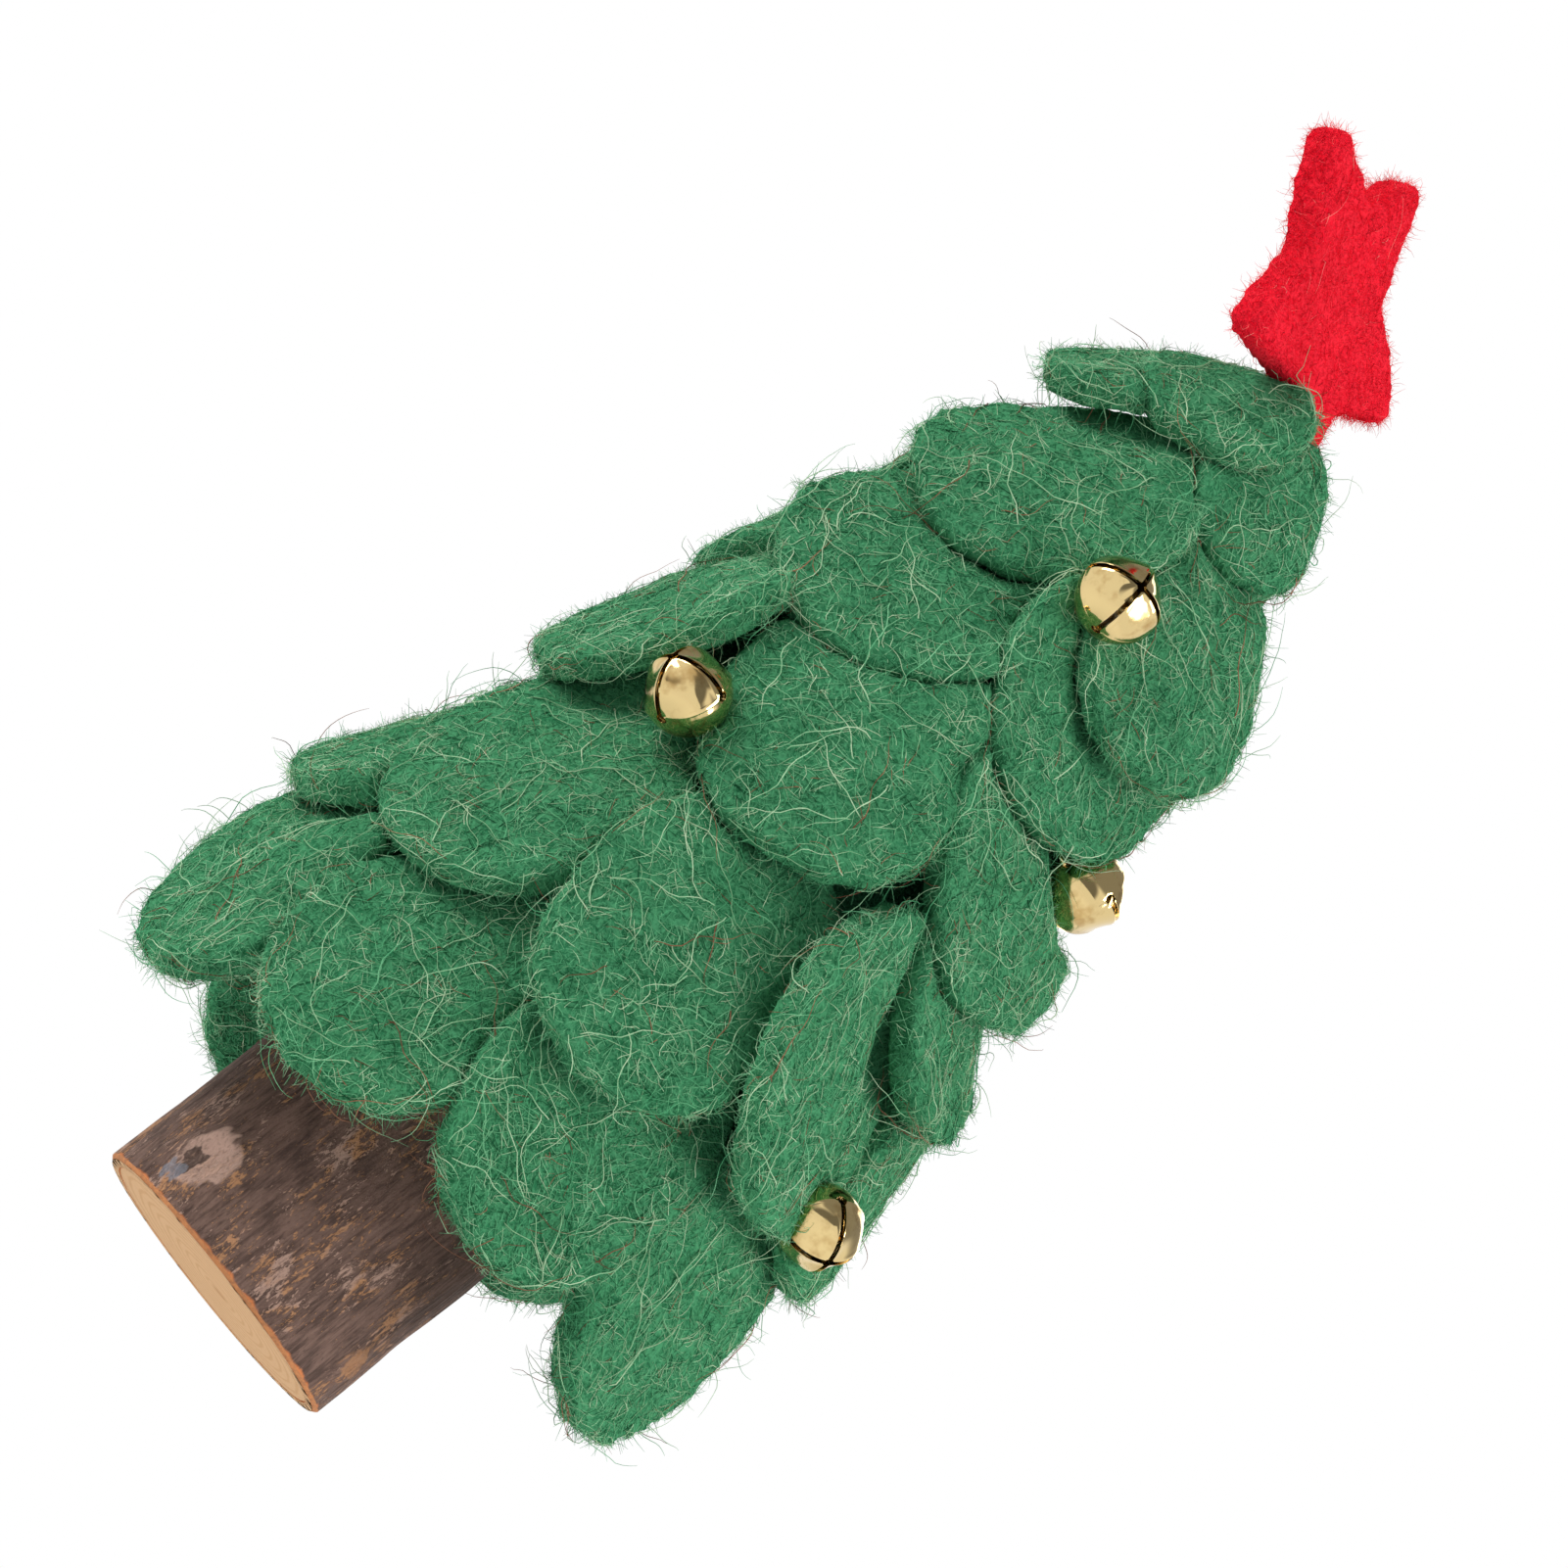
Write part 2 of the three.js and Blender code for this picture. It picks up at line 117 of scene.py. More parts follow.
class NodeSheet:
    """A node tree, with short ways to add nodes and join them."""

    def __init__(self, tree: bpy.types.NodeTree) -> None:
        """Keep the tree that the nodes go into."""
        self.tree = tree

    def add(self, kind: str, **settings: object) -> bpy.types.Node:
        """Add a node.

        Args:
            kind: The node's type name.
            **settings: Properties to set on it.

        Returns:
            The new node.
        """
        node = self.tree.nodes.new(kind)
        for name, value in settings.items():
            setattr(node, name, value)
        return node

    def feed(self, socket: Socket, value: object) -> None:
        """Join an output to a socket, or set the socket to a plain value.

        Args:
            socket: The input to feed.
            value: An output socket, a number, a vector or a colour.
        """
        if isinstance(value, Socket):
            self.tree.links.new(value, socket)
        else:
            socket.default_value = value

    def object_place(self) -> Socket:
        """Give the surface's place in the piece's own coordinates."""
        return self.add("ShaderNodeTexCoord").outputs["Object"]

    def math(self, operation: str, first: object, second: object = 0.0) -> Socket:
        """Work out one sum on two numbers.

        Args:
            operation: The Math node's operation.
            first: Its first number or socket.
            second: Its second number or socket.

        Returns:
            The result's socket.
        """
        node = self.add("ShaderNodeMath", operation=operation)
        self.feed(node.inputs[0], first)
        self.feed(node.inputs[1], second)
        return node.outputs[0]

    def weighed(self, first: object, first_share: float, second: object, second_share: float) -> Socket:
        """Add two numbers, each multiplied by its share.

        Args:
            first: A number or socket.
            first_share: What it is multiplied by.
            second: A number or socket.
            second_share: What that is multiplied by.

        Returns:
            The sum's socket.
        """
        return self.math("ADD", self.math("MULTIPLY", first, first_share),
                         self.math("MULTIPLY", second, second_share))

    def mix(self, share: object, first: object, second: object) -> Socket:
        """Mix two colours.

        Args:
            share: How much of the second colour, from 0 to 1.
            first: A colour or socket.
            second: A colour or socket.

        Returns:
            The mixed colour's socket.
        """
        node = self.add("ShaderNodeMix", data_type="RGBA")
        self.feed(node.inputs[0], share)
        self.feed(node.inputs[6], first)
        self.feed(node.inputs[7], second)
        return node.outputs[2]

    def noise(self, place: Socket, scale: object, detail: float = 2.0, roughness: float = 0.5,
              distortion: float = 0.0) -> Socket:
        """Add a noise pattern.

        Args:
            place: Where on the piece it is read.
            scale: Its waves to a metre.
            detail: Its number of finer layers.
            roughness: How strong those layers are.
            distortion: How far it is swirled.

        Returns:
            The pattern's value, around 0.5.
        """
        node = self.add("ShaderNodeTexNoise")
        self.feed(node.inputs["Vector"], place)
        self.feed(node.inputs["Scale"], scale)
        self.feed(node.inputs["Detail"], detail)
        self.feed(node.inputs["Roughness"], roughness)
        self.feed(node.inputs["Distortion"], distortion)
        return node.outputs[0]

    def span(self, value: object, low: object, high: object, to_low: float = 0.0,
             to_high: float = 1.0) -> Socket:
        """Map a value from one range to another, softly at both ends.

        Args:
            value: The value or socket.
            low: The value that gives to_low.
            high: The value that gives to_high.
            to_low: The result at low.
            to_high: The result at high.

        Returns:
            The mapped value's socket.
        """
        node = self.add("ShaderNodeMapRange", interpolation_type="SMOOTHSTEP")
        for socket, number in zip(node.inputs, (value, low, high, to_low, to_high)):
            self.feed(socket, number)
        return node.outputs[0]

    def stretched(self, place: Socket, scale: tuple[float, float, float],
                  shift: tuple[float, float, float] = (0.0, 0.0, 0.0),
                  turn: tuple[float, float, float] = (0.0, 0.0, 0.0)) -> Socket:
        """Stretch, turn and shift the place that a pattern is read at.

        Args:
            place: The place to start from.
            scale: What each axis is multiplied by.
            shift: What is added at the end, in metres.
            turn: Angles round the three axes, in radians.

        Returns:
            The new place's socket.
        """
        node = self.add("ShaderNodeMapping")
        self.feed(node.inputs["Vector"], place)
        self.feed(node.inputs["Location"], shift)
        self.feed(node.inputs["Rotation"], turn)
        self.feed(node.inputs["Scale"], scale)
        return node.outputs[0]

    def distance(self, place: Socket, centre: Vector, squeeze: tuple[float, float, float]) -> Socket:
        """Measure how far the place is from a point, with each axis stretched.

        Args:
            place: The place on the surface.
            centre: The point.
            squeeze: What each axis is multiplied by first.

        Returns:
            The distance's socket.
        """
        node = self.add("ShaderNodeVectorMath", operation="DISTANCE")
        self.feed(node.inputs[0], self.stretched(place, squeeze))
        self.feed(node.inputs[1], Vector(c * s for c, s in zip(centre, squeeze)))
        return node.outputs["Value"]

    def bump(self, height: Socket, strength: float, depth: float) -> Socket:
        """Turn a height into a surface normal.

        Args:
            height: The height's socket.
            strength: How much it shows, from 0 to 1.
            depth: The height that 1 stands for, in metres.

        Returns:
            The normal's socket.
        """
        node = self.add("ShaderNodeBump")
        self.feed(node.inputs["Strength"], strength)
        self.feed(node.inputs["Distance"], depth)
        self.feed(node.inputs["Height"], height)
        return node.outputs["Normal"]


class Material(NodeSheet):
    """A new material's node tree, with its Principled shader."""

    def __init__(self, name: str) -> None:
        """Make the material and find its shader."""
        self.made = bpy.data.materials.new(name)
        self.made.use_nodes = True
        super().__init__(self.made.node_tree)
        self.shader = self.tree.nodes["Principled BSDF"]

    def set(self, **values: object) -> None:
        """Feed the shader's sockets, named in lower case with _ for a space."""
        for name, value in values.items():
            self.feed(self.shader.inputs[name.replace("_", " ").title().replace("Ior", "IOR")], value)


class NodeGroup(NodeSheet):
    """A shader node group under construction."""

    def __init__(self, name: str, inputs: dict[str, str], outputs: dict[str, str]) -> None:
        """Make the group and its sockets.

        Args:
            name: The group's name.
            inputs: Socket types by name.
            outputs: Socket types by name.
        """
        super().__init__(bpy.data.node_groups.new(name, "ShaderNodeTree"))
        for direction, sockets in (("INPUT", inputs), ("OUTPUT", outputs)):
            for label, kind in sockets.items():
                self.tree.interface.new_socket(label, in_out=direction, socket_type=kind)
        self.given = self.add("NodeGroupInput").outputs
        self.result = self.add("NodeGroupOutput").inputs


NUMBER = "NodeSocketFloat"
VECTOR = "NodeSocketVector"
TINT = "NodeSocketColor"


@dataclass(frozen=True)
class Pattern:
    """A noise pattern on a piece."""

    waves: float                                            # to a metre
    detail: float = 2.0                                     # number of finer layers
    roughness: float = 0.5                                  # how strong those layers are
    swirl: float = 0.0
    draw: tuple[float, float, float] | None = None          # what each axis is multiplied by first
    shift: tuple[float, float, float] = (0.0, 0.0, 0.0)     # what is then added

    def on(self, sheet: NodeSheet, place: Socket) -> Socket:
        """Add the pattern to a node tree.

        Args:
            sheet: The tree.
            place: Where on the piece it is read.

        Returns:
            The pattern's value, around NOISE_MIDDLE.
        """
        if self.draw:
            place = sheet.stretched(place, self.draw, self.shift)
        return sheet.noise(place, self.waves, self.detail, self.roughness, self.swirl)


def use_group(sheet: NodeSheet, group: bpy.types.NodeTree, **values: object) -> bpy.types.Node:
    """Place a node group in a node tree.

    Args:
        sheet: The tree that it goes into.
        group: The group.
        **values: What its inputs are fed, by name.

    Returns:
        The group's node.
    """
    node = sheet.add("ShaderNodeGroup", node_tree=group)
    for name, value in values.items():
        sheet.feed(node.inputs[name], value)
    return node


LINE_SWIRL = 0.6                    # how far fibre lines are swirled
PATCH_WAVES = 1.3                   # of the gaps that break the lines, against the lines' own
PATCH_EDGES = (0.42, 0.56)          # between these a line fades in


def fibre_lines_group() -> bpy.types.NodeTree:
    """Make the group that draws thin broken curves, as loose fibres lie on felt.

    Returns:
        The group, with a mask that is 1 along the curves.
    """
    group = NodeGroup("fibre_lines", {"Place": VECTOR, "Scale": NUMBER, "Width": NUMBER}, {"Mask": NUMBER})
    place, waves = group.given["Place"], group.given["Scale"]
    swirl = group.noise(place, waves, 1.0, distortion=LINE_SWIRL)
    off_line = group.math("ABSOLUTE", group.math("SUBTRACT", swirl, NOISE_MIDDLE))
    line = group.math("SUBTRACT", 1.0, group.span(off_line, 0.0, group.given["Width"]))
    patches = group.noise(place, group.math("MULTIPLY", waves, PATCH_WAVES), 1.0)
    group.feed(group.result["Mask"], group.math("MULTIPLY", line, group.span(patches, *PATCH_EDGES)))
    return group.tree


@dataclass(frozen=True)
class FibreLayer:
    """One layer of fibres pressed into felt."""

    scale: float    # waves to a metre
    width: float    # of a line, as the pattern counts it
    weight: float   # how much of the fibre colour it shows
    turn: float     # which way it runs, in radians
    slant: float    # how much it is drawn out


FELT_LAYERS = (
    FibreLayer(scale=480.0, width=0.06, weight=0.6, turn=0.3, slant=0.5),
    FibreLayer(scale=800.0, width=0.10, weight=0.7, turn=1.4, slant=0.45),
    FibreLayer(scale=1200.0, width=0.14, weight=0.7, turn=2.6, slant=0.5),
    FibreLayer(scale=1700.0, width=0.16, weight=0.7, turn=4.1, slant=0.45),
    FibreLayer(scale=2300.0, width=0.18, weight=0.6, turn=5.5, slant=0.5))


@dataclass(frozen=True)
class FeltGrain:
    """The pattern that pressed wool felt has under its fibre lines."""

    mottle: Pattern = Pattern(170.0, detail=3.0, roughness=0.65)
    grain: Pattern = Pattern(2600.0, detail=3.0, roughness=0.7)
    mottle_share: float = 0.45                                  # of the depth that picks the colour
    grain_share: float = 0.55
    depths: tuple[float, float] = (0.42, 0.57)                  # of the deep and of the body colour
    fibre_height: float = 0.8
    grain_height: float = 0.8
    layer_turns: tuple[float, float, float] = (1.0, 0.7, 1.3)   # a layer's turn round each axis


def wool_felt_group(lines: bpy.types.NodeTree, looks: FeltGrain) -> bpy.types.NodeTree:
    """Make the group for pressed wool felt: mottled colour, fine grain and layers of fibre lines.

    Args:
        lines: The fibre lines group.
        looks: The pattern under the lines.

    Returns:
        The group, with a colour and a height.
    """
    group = NodeGroup("wool_felt", {"Deep": TINT, "Body": TINT, "Fibre": TINT},
                      {"Color": TINT, "Height": NUMBER})
    place = group.object_place()
    mottle, grain = looks.mottle.on(group, place), looks.grain.on(group, place)
    depth = group.weighed(mottle, looks.mottle_share, grain, looks.grain_share)
    colour = group.mix(group.span(depth, *looks.depths), group.given["Deep"], group.given["Body"])
    cover = 0.0
    for layer in FELT_LAYERS:
        turn = tuple(share * layer.turn for share in looks.layer_turns)
        turned = group.stretched(place, (1.0, layer.slant, 1.0), (layer.turn,) * 3, turn)
        line = use_group(group, lines, Place=turned, Scale=layer.scale, Width=layer.width)
        cover = group.math("MAXIMUM", cover, group.math("MULTIPLY", line.outputs["Mask"], layer.weight))
    group.feed(group.result["Color"], group.mix(cover, colour, group.given["Fibre"]))
    group.feed(group.result["Height"], group.weighed(cover, looks.fibre_height, grain, looks.grain_height))
    return group.tree


@dataclass(frozen=True)
class FeltFinish:
    """Pressed wool felt."""

    name: str
    deep: Colour
    body: Colour
    fibre: Colour
    sheen: Colour
    sheen_weight: float = 0.1
    sheen_roughness: float = 0.6
    gloss: float = 0.05
    bump_share: float = 0.9
    bump_depth: float = 0.35 * MM

    def build(self, felt: bpy.types.NodeTree) -> bpy.types.Material:
        """Make the material.

        Args:
            felt: The wool felt group.

        Returns:
            The material.
        """
        sheet = Material(self.name)
        wool = use_group(sheet, felt, Deep=self.deep, Body=self.body, Fibre=self.fibre)
        sheet.set(base_color=wool.outputs["Color"], roughness=1.0, specular_ior_level=self.gloss,
                  sheen_weight=self.sheen_weight, sheen_roughness=self.sheen_roughness,
                  sheen_tint=self.sheen,
                  normal=sheet.bump(wool.outputs["Height"], self.bump_share, self.bump_depth))
        return sheet.made


@dataclass(frozen=True)
class FibreFinish:
    """Single wool fibres."""

    name: str
    dark: Colour
    pale: Colour
    tone: Pattern = Pattern(260.0)
    tones: tuple[float, float] = (0.35, 0.65)       # of the dark and of the pale colour
    roughness: float = 0.95
    gloss: float = 0.1

    def build(self) -> bpy.types.Material:
        """Make the material."""
        sheet = Material(self.name)
        tone = sheet.span(self.tone.on(sheet, sheet.object_place()), *self.tones)
        sheet.set(base_color=sheet.mix(tone, self.dark, self.pale), roughness=self.roughness,
                  specular_ior_level=self.gloss)
        return sheet.made


@dataclass(frozen=True)
class BrassFinish:
    """Thin polished brass, a little dulled by handling."""

    clean: Colour = srgb(224, 199, 142)
    dull: Colour = srgb(190, 158, 102)
    cloud: Pattern = Pattern(420.0, detail=3.0, roughness=0.6)
    scratch: Pattern = Pattern(1.0, draw=(900.0, 4200.0, 900.0))
    dulling: tuple[float, float] = (0.45, 0.7)              # of the clean and of the dull colour
    haze: tuple[float, ...] = (0.35, 0.7, 0.06, 0.16)       # the cloud's range, and the roughness there
    scratch_share: float = 0.12
    scratch_depth: float = 0.02 * MM

    def build(self) -> bpy.types.Material:
        """Make the material."""
        sheet = Material("polished_brass")
        place = sheet.object_place()
        cloud = self.cloud.on(sheet, place)
        scratch = self.scratch.on(sheet, place)
        sheet.set(base_color=sheet.mix(sheet.span(cloud, *self.dulling), self.clean, self.dull),
                  metallic=1.0, roughness=sheet.span(cloud, *self.haze),
                  normal=sheet.bump(scratch, self.scratch_share, self.scratch_depth))
        return sheet.made


@dataclass(frozen=True)
class SteelFinish:
    """The small balls' plain steel."""

    bright: Colour = srgb(178, 178, 174)
    worn: Colour = srgb(128, 126, 122)
    cloud: Pattern = Pattern(900.0, detail=3.0, roughness=0.6)
    haze: tuple[float, ...] = (0.3, 0.7, 0.25, 0.45)        # the cloud's range, and the roughness there

    def build(self) -> bpy.types.Material:
        """Make the material."""
        sheet = Material("ball_steel")
        cloud = self.cloud.on(sheet, sheet.object_place())
        sheet.set(base_color=sheet.mix(cloud, self.bright, self.worn), metallic=1.0,
                  roughness=sheet.span(cloud, *self.haze))
        return sheet.made


@dataclass(frozen=True)
class BarkSpot:
    """A marked place on the bark."""

    place: Vector
    height_share: float     # how much its height counts in the distance from it
    reach: float
    hue: Colour
    share: float            # of its hue that shows


@dataclass(frozen=True)
class BarkFinish:
    """Thin young bark: dark, flaking in small tan and pinkish specks, with a scar and a knot."""

    body: Colour = srgb(118, 92, 81)
    furrow: Colour = srgb(74, 56, 49)
    tan: Colour = srgb(176, 128, 90)
    pink: Colour = srgb(174, 142, 126)
    edge: Colour = srgb(206, 124, 72)
    scar: Colour = srgb(190, 156, 140)
    chip: Colour = srgb(124, 124, 132)
    scar_place: Vector = Vector((-8.6, -12.2, 5.4)) * MM
    hollow_place: Vector = Vector((-9.5, -11.7, 4.4)) * MM
    chip_place: Vector = Vector((-9.9, -11.4, 2.6)) * MM
    knot_place: Vector = Vector((13.6, -6.4, 4.6)) * MM
    streak: Pattern = Pattern(2300.0, detail=4.0, roughness=0.7, swirl=0.3, draw=(1.0, 1.0, 0.14))
    mottle: Pattern = Pattern(420.0, detail=3.0, roughness=0.6, draw=(1.0, 1.0, 0.5))
    fine: Pattern = Pattern(4200.0, detail=3.0, roughness=0.7, draw=(1.0, 1.0, 0.5))
    cluster: Pattern = Pattern(260.0, detail=2.0, roughness=0.6, draw=(1.0, 1.0, 0.5),
                               shift=(0.5, 0.3, 0.0))
    warm: Pattern = Pattern(500.0, draw=(1.0, 1.0, 0.5), shift=(0.9, 0.7, 0.2))
    streak_share: float = 0.6                               # of the shade that picks the colour
    mottle_share: float = 0.4
    shades: tuple[float, float] = (0.38, 0.62)              # of the furrow and of the body colour
    pits: tuple[float, ...] = (0.56, 0.7, 0.0, 0.7)         # fine grain, and the furrow colour there
    warmth: tuple[float, float] = (0.48, 0.60)              # of the tan and of the pink colour
    flake_sizes: tuple[tuple[float, float], ...] = (        # waves to a metre, least value that shows
        (1500.0, 0.60), (2800.0, 0.60), (4600.0, 0.61))
    flake_draw: tuple[float, float, float] = (1.0, 1.0, 0.34)
    flake_shift: float = 9000.0                             # sets the sizes' patterns apart
    flake_edge: float = 0.05                                # how much more makes a flake show fully
    gather: float = 0.58                                    # how closely flakes keep to clusters
    wander: float = 5.0 * MM                                # how far the edges of spots stray
    spot_core: float = 0.8                                  # share of a spot's reach that shows fully
    worn: tuple[float, float] = (0.3, 0.5)                  # fine grain that wears flakes and spots
    flake_wear: tuple[float, float] = (0.4, 0.9)            # what is left of a flake there
    spot_wear: tuple[float, float] = (0.45, 1.0)            # and of a spot
    edge_stray: float = 0.3                                 # share of the wander that the cut edge has
    cut_edge: tuple[float, ...] = (0.2 * MM, 0.55 * MM, 0.9, 0.0)   # heights, and the edge colour there
    streak_height: float = 0.6
    fine_height: float = 0.4
    flake_height: float = 0.35
    roughness: tuple[float, ...] = (0.3, 0.7, 0.92, 0.72)   # the streaks' range, and the roughness there
    gloss: float = 0.3
    bump_share: float = 0.8
    bump_depth: float = 0.35 * MM

    def spots(self) -> tuple[BarkSpot, ...]:
        """List the marked places: a scar with a hollow, a grey chip under it and a knot."""
        return (
            BarkSpot(self.scar_place, height_share=0.8, reach=2.9 * MM, hue=self.scar, share=0.85),
            BarkSpot(self.hollow_place, height_share=0.55, reach=1.1 * MM, hue=self.furrow, share=0.9),
            BarkSpot(self.chip_place, height_share=0.8, reach=1.2 * MM, hue=self.chip, share=0.8),
            BarkSpot(self.knot_place, height_share=0.8, reach=1.8 * MM, hue=self.tan, share=0.7))

    def flecks(self, sheet: Material, place: Socket, fine: Socket) -> Socket:
        """Scatter the flakes.

        Args:
            sheet: The material.
            place: The place on the bark.
            fine: The fine grain, which wears them.

        Returns:
            A mask of the flakes.
        """
        cluster = self.cluster.on(sheet, place)
        gather = sheet.math("MULTIPLY", sheet.math("SUBTRACT", cluster, NOISE_MIDDLE), self.gather)
        flecks = 0.0
        for waves, least in self.flake_sizes:
            size = Pattern(waves, detail=3.0, roughness=0.65, swirl=0.5, draw=self.flake_draw,
                           shift=(0.2, waves / self.flake_shift, 0.0))
            flake = sheet.math("ADD", size.on(sheet, place), gather)
            flecks = sheet.math("MAXIMUM", flecks, sheet.span(flake, least, least + self.flake_edge))
        return sheet.math("MULTIPLY", flecks, sheet.span(fine, *self.worn, *self.flake_wear))

    def build(self) -> bpy.types.Material:
        """Make the material."""
        sheet = Material("branch_bark")
        place = sheet.object_place()
        patterns = (self.streak, self.mottle, self.fine)
        streak, mottle, fine = (pattern.on(sheet, place) for pattern in patterns)
        shade = sheet.weighed(streak, self.streak_share, mottle, self.mottle_share)
        colour = sheet.mix(sheet.span(shade, *self.shades), self.furrow, self.body)
        colour = sheet.mix(sheet.span(fine, *self.pits), colour, self.furrow)
        flecks = self.flecks(sheet, place, fine)
        tint = sheet.mix(sheet.span(self.warm.on(sheet, place), *self.warmth), self.tan, self.pink)
        colour = sheet.mix(flecks, colour, tint)
        wobble = sheet.math("MULTIPLY", sheet.math("SUBTRACT", mottle, NOISE_MIDDLE), self.wander)
        for spot in self.spots():
            away = sheet.distance(place, spot.place, (1.0, 1.0, spot.height_share))
            away = sheet.math("ADD", away, wobble)
            mask = sheet.span(away, self.spot_core * spot.reach, spot.reach, spot.share, 0.0)
            broken = sheet.math("MULTIPLY", mask, sheet.span(fine, *self.worn, *self.spot_wear))
            colour = sheet.mix(broken, colour, spot.hue)
        height = sheet.add("ShaderNodeSeparateXYZ")
        sheet.feed(height.inputs[0], place)
        chipped = sheet.math("ADD", height.outputs["Z"], sheet.math("MULTIPLY", wobble, self.edge_stray))
        colour = sheet.mix(sheet.span(chipped, *self.cut_edge), colour, self.edge)
        relief = sheet.weighed(streak, self.streak_height, fine, self.fine_height)
        relief = sheet.math("ADD", relief, sheet.math("MULTIPLY", flecks, self.flake_height))
        sheet.set(base_color=colour, roughness=sheet.span(streak, *self.roughness),
                  specular_ior_level=self.gloss,
                  normal=sheet.bump(relief, self.bump_share, self.bump_depth))
        return sheet.made


@dataclass(frozen=True)
class CutBarkFinish:
    """The sawn edge of the bark, orange-brown."""

    inner: Colour = srgb(186, 122, 74)
    outer: Colour = srgb(160, 106, 68)
    grain: Pattern = Pattern(1500.0, detail=4.0, roughness=0.65)
    tones: tuple[float, float] = (0.4, 0.65)        # of the inner and of the outer colour
    roughness: float = 0.9
    bump_share: float = 0.7
    bump_depth: float = 0.2 * MM

    def build(self) -> bpy.types.Material:
        """Make the material."""
        sheet = Material("cut_bark")
        grain = self.grain.on(sheet, sheet.object_place())
        sheet.set(base_color=sheet.mix(sheet.span(grain, *self.tones), self.inner, self.outer),
                  roughness=self.roughness, normal=sheet.bump(grain, self.bump_share, self.bump_depth))
        return sheet.made


@dataclass(frozen=True)
class SawnWoodFinish:
    """A freshly sawn end: growth rings, a pith and saw marks."""

    pale: Colour = srgb(220, 181, 138)
    late: Colour = srgb(200, 156, 110)
    heart: Colour = srgb(190, 144, 100)
    pith: Vector = Vector((1.2, -0.8, 0)) * MM
    pith_edge: tuple[float, ...] = (0.4 * MM, 1.6 * MM, 0.7, 0.0)   # distances, and the heart colour there
    ring_gap: float = 1.35 * MM
    ring_tone: tuple[float, ...] = (0.1, 1.0, 0.0, 0.55)            # the rings, and the late colour there
    wander: Pattern = Pattern(120.0, detail=3.0)
    wander_reach: float = 2.2 * MM
    saw: Pattern = Pattern(1.0, detail=3.0, roughness=0.6, draw=(260.0, 2900.0, 260.0))
    saw_tone: tuple[float, ...] = (0.5, 0.75, 0.0, 0.6)             # the same for the saw marks
    saw_height: float = 0.7
    speck: Pattern = Pattern(2600.0, detail=3.0, roughness=0.7)
    speck_tone: tuple[float, ...] = (0.58, 0.72, 0.0, 0.5)          # and for the specks' heart colour
    speck_height: float = 0.4
    roughness: float = 0.85
    gloss: float = 0.25
    bump_share: float = 0.5
    bump_depth: float = 0.15 * MM

    def build(self) -> bpy.types.Material:
        """Make the material."""
        sheet = Material("sawn_end")
        place = sheet.object_place()
        wander = sheet.math("MULTIPLY", self.wander.on(sheet, place), self.wander_reach)
        from_pith = sheet.distance(place, self.pith, (1, 1, 0))
        ring_place = sheet.math("ADD", from_pith, wander)
        wave = sheet.math("SINE", sheet.math("MULTIPLY", ring_place, 2 * math.pi / self.ring_gap))
        saw, speck = self.saw.on(sheet, place), self.speck.on(sheet, place)
        colour = sheet.mix(sheet.span(wave, *self.ring_tone), self.pale, self.late)
        colour = sheet.mix(sheet.span(saw, *self.saw_tone), colour, self.late)
        colour = sheet.mix(sheet.span(speck, *self.speck_tone), colour, self.heart)
        colour = sheet.mix(sheet.span(from_pith, *self.pith_edge), colour, self.heart)
        relief = sheet.weighed(saw, self.saw_height, speck, self.speck_height)
        sheet.set(base_color=colour, roughness=self.roughness, specular_ior_level=self.gloss,
                  normal=sheet.bump(relief, self.bump_share, self.bump_depth))
        return sheet.made


class Finishes:
    """Every material of the tree, made once."""

    def __init__(self) -> None:
        """Build the node groups and the materials."""
        felt = wool_felt_group(fibre_lines_group(), FeltGrain())
        self.green = FeltFinish("green_felt", deep=srgb(34, 98, 62), body=srgb(46, 118, 78),
                                fibre=srgb(84, 158, 112), sheen=srgb(90, 190, 130)).build(felt)
        self.red = FeltFinish("red_felt", deep=srgb(212, 8, 30), body=srgb(240, 20, 44),
                              fibre=srgb(248, 44, 62), sheen=srgb(255, 50, 60)).build(felt)
        self.core = FeltFinish("core_felt", deep=srgb(28, 82, 52), body=srgb(42, 110, 72),
                               fibre=srgb(70, 136, 96), sheen=srgb(80, 150, 110)).build(felt)
        self.green_fibres = [
            FibreFinish("pale_green_fibre", dark=srgb(140, 190, 146), pale=srgb(188, 215, 178)).build(),
            FibreFinish("green_fibre", dark=srgb(80, 160, 112), pale=srgb(126, 190, 144)).build(),
            FibreFinish("brown_fibre", dark=srgb(104, 70, 54), pale=srgb(156, 108, 84)).build(),
            FibreFinish("deep_green_fibre", dark=srgb(18, 72, 44), pale=srgb(36, 100, 62)).build(),
        ]
        self.red_fibres = [
            FibreFinish("pink_fibre", dark=srgb(244, 90, 96), pale=srgb(252, 150, 140)).build(),
            FibreFinish("red_fibre", dark=srgb(230, 14, 38), pale=srgb(246, 32, 54)).build(),
            FibreFinish("deep_red_fibre", dark=srgb(176, 4, 24), pale=srgb(206, 10, 32)).build(),
            FibreFinish("bright_red_fibre", dark=srgb(244, 34, 54), pale=srgb(252, 62, 76)).build(),
        ]
        self.brass = BrassFinish().build()
        self.steel = SteelFinish().build()
        self.bark = BarkFinish().build()
        self.cut_bark = CutBarkFinish().build()
        self.wood = SawnWoodFinish().build()


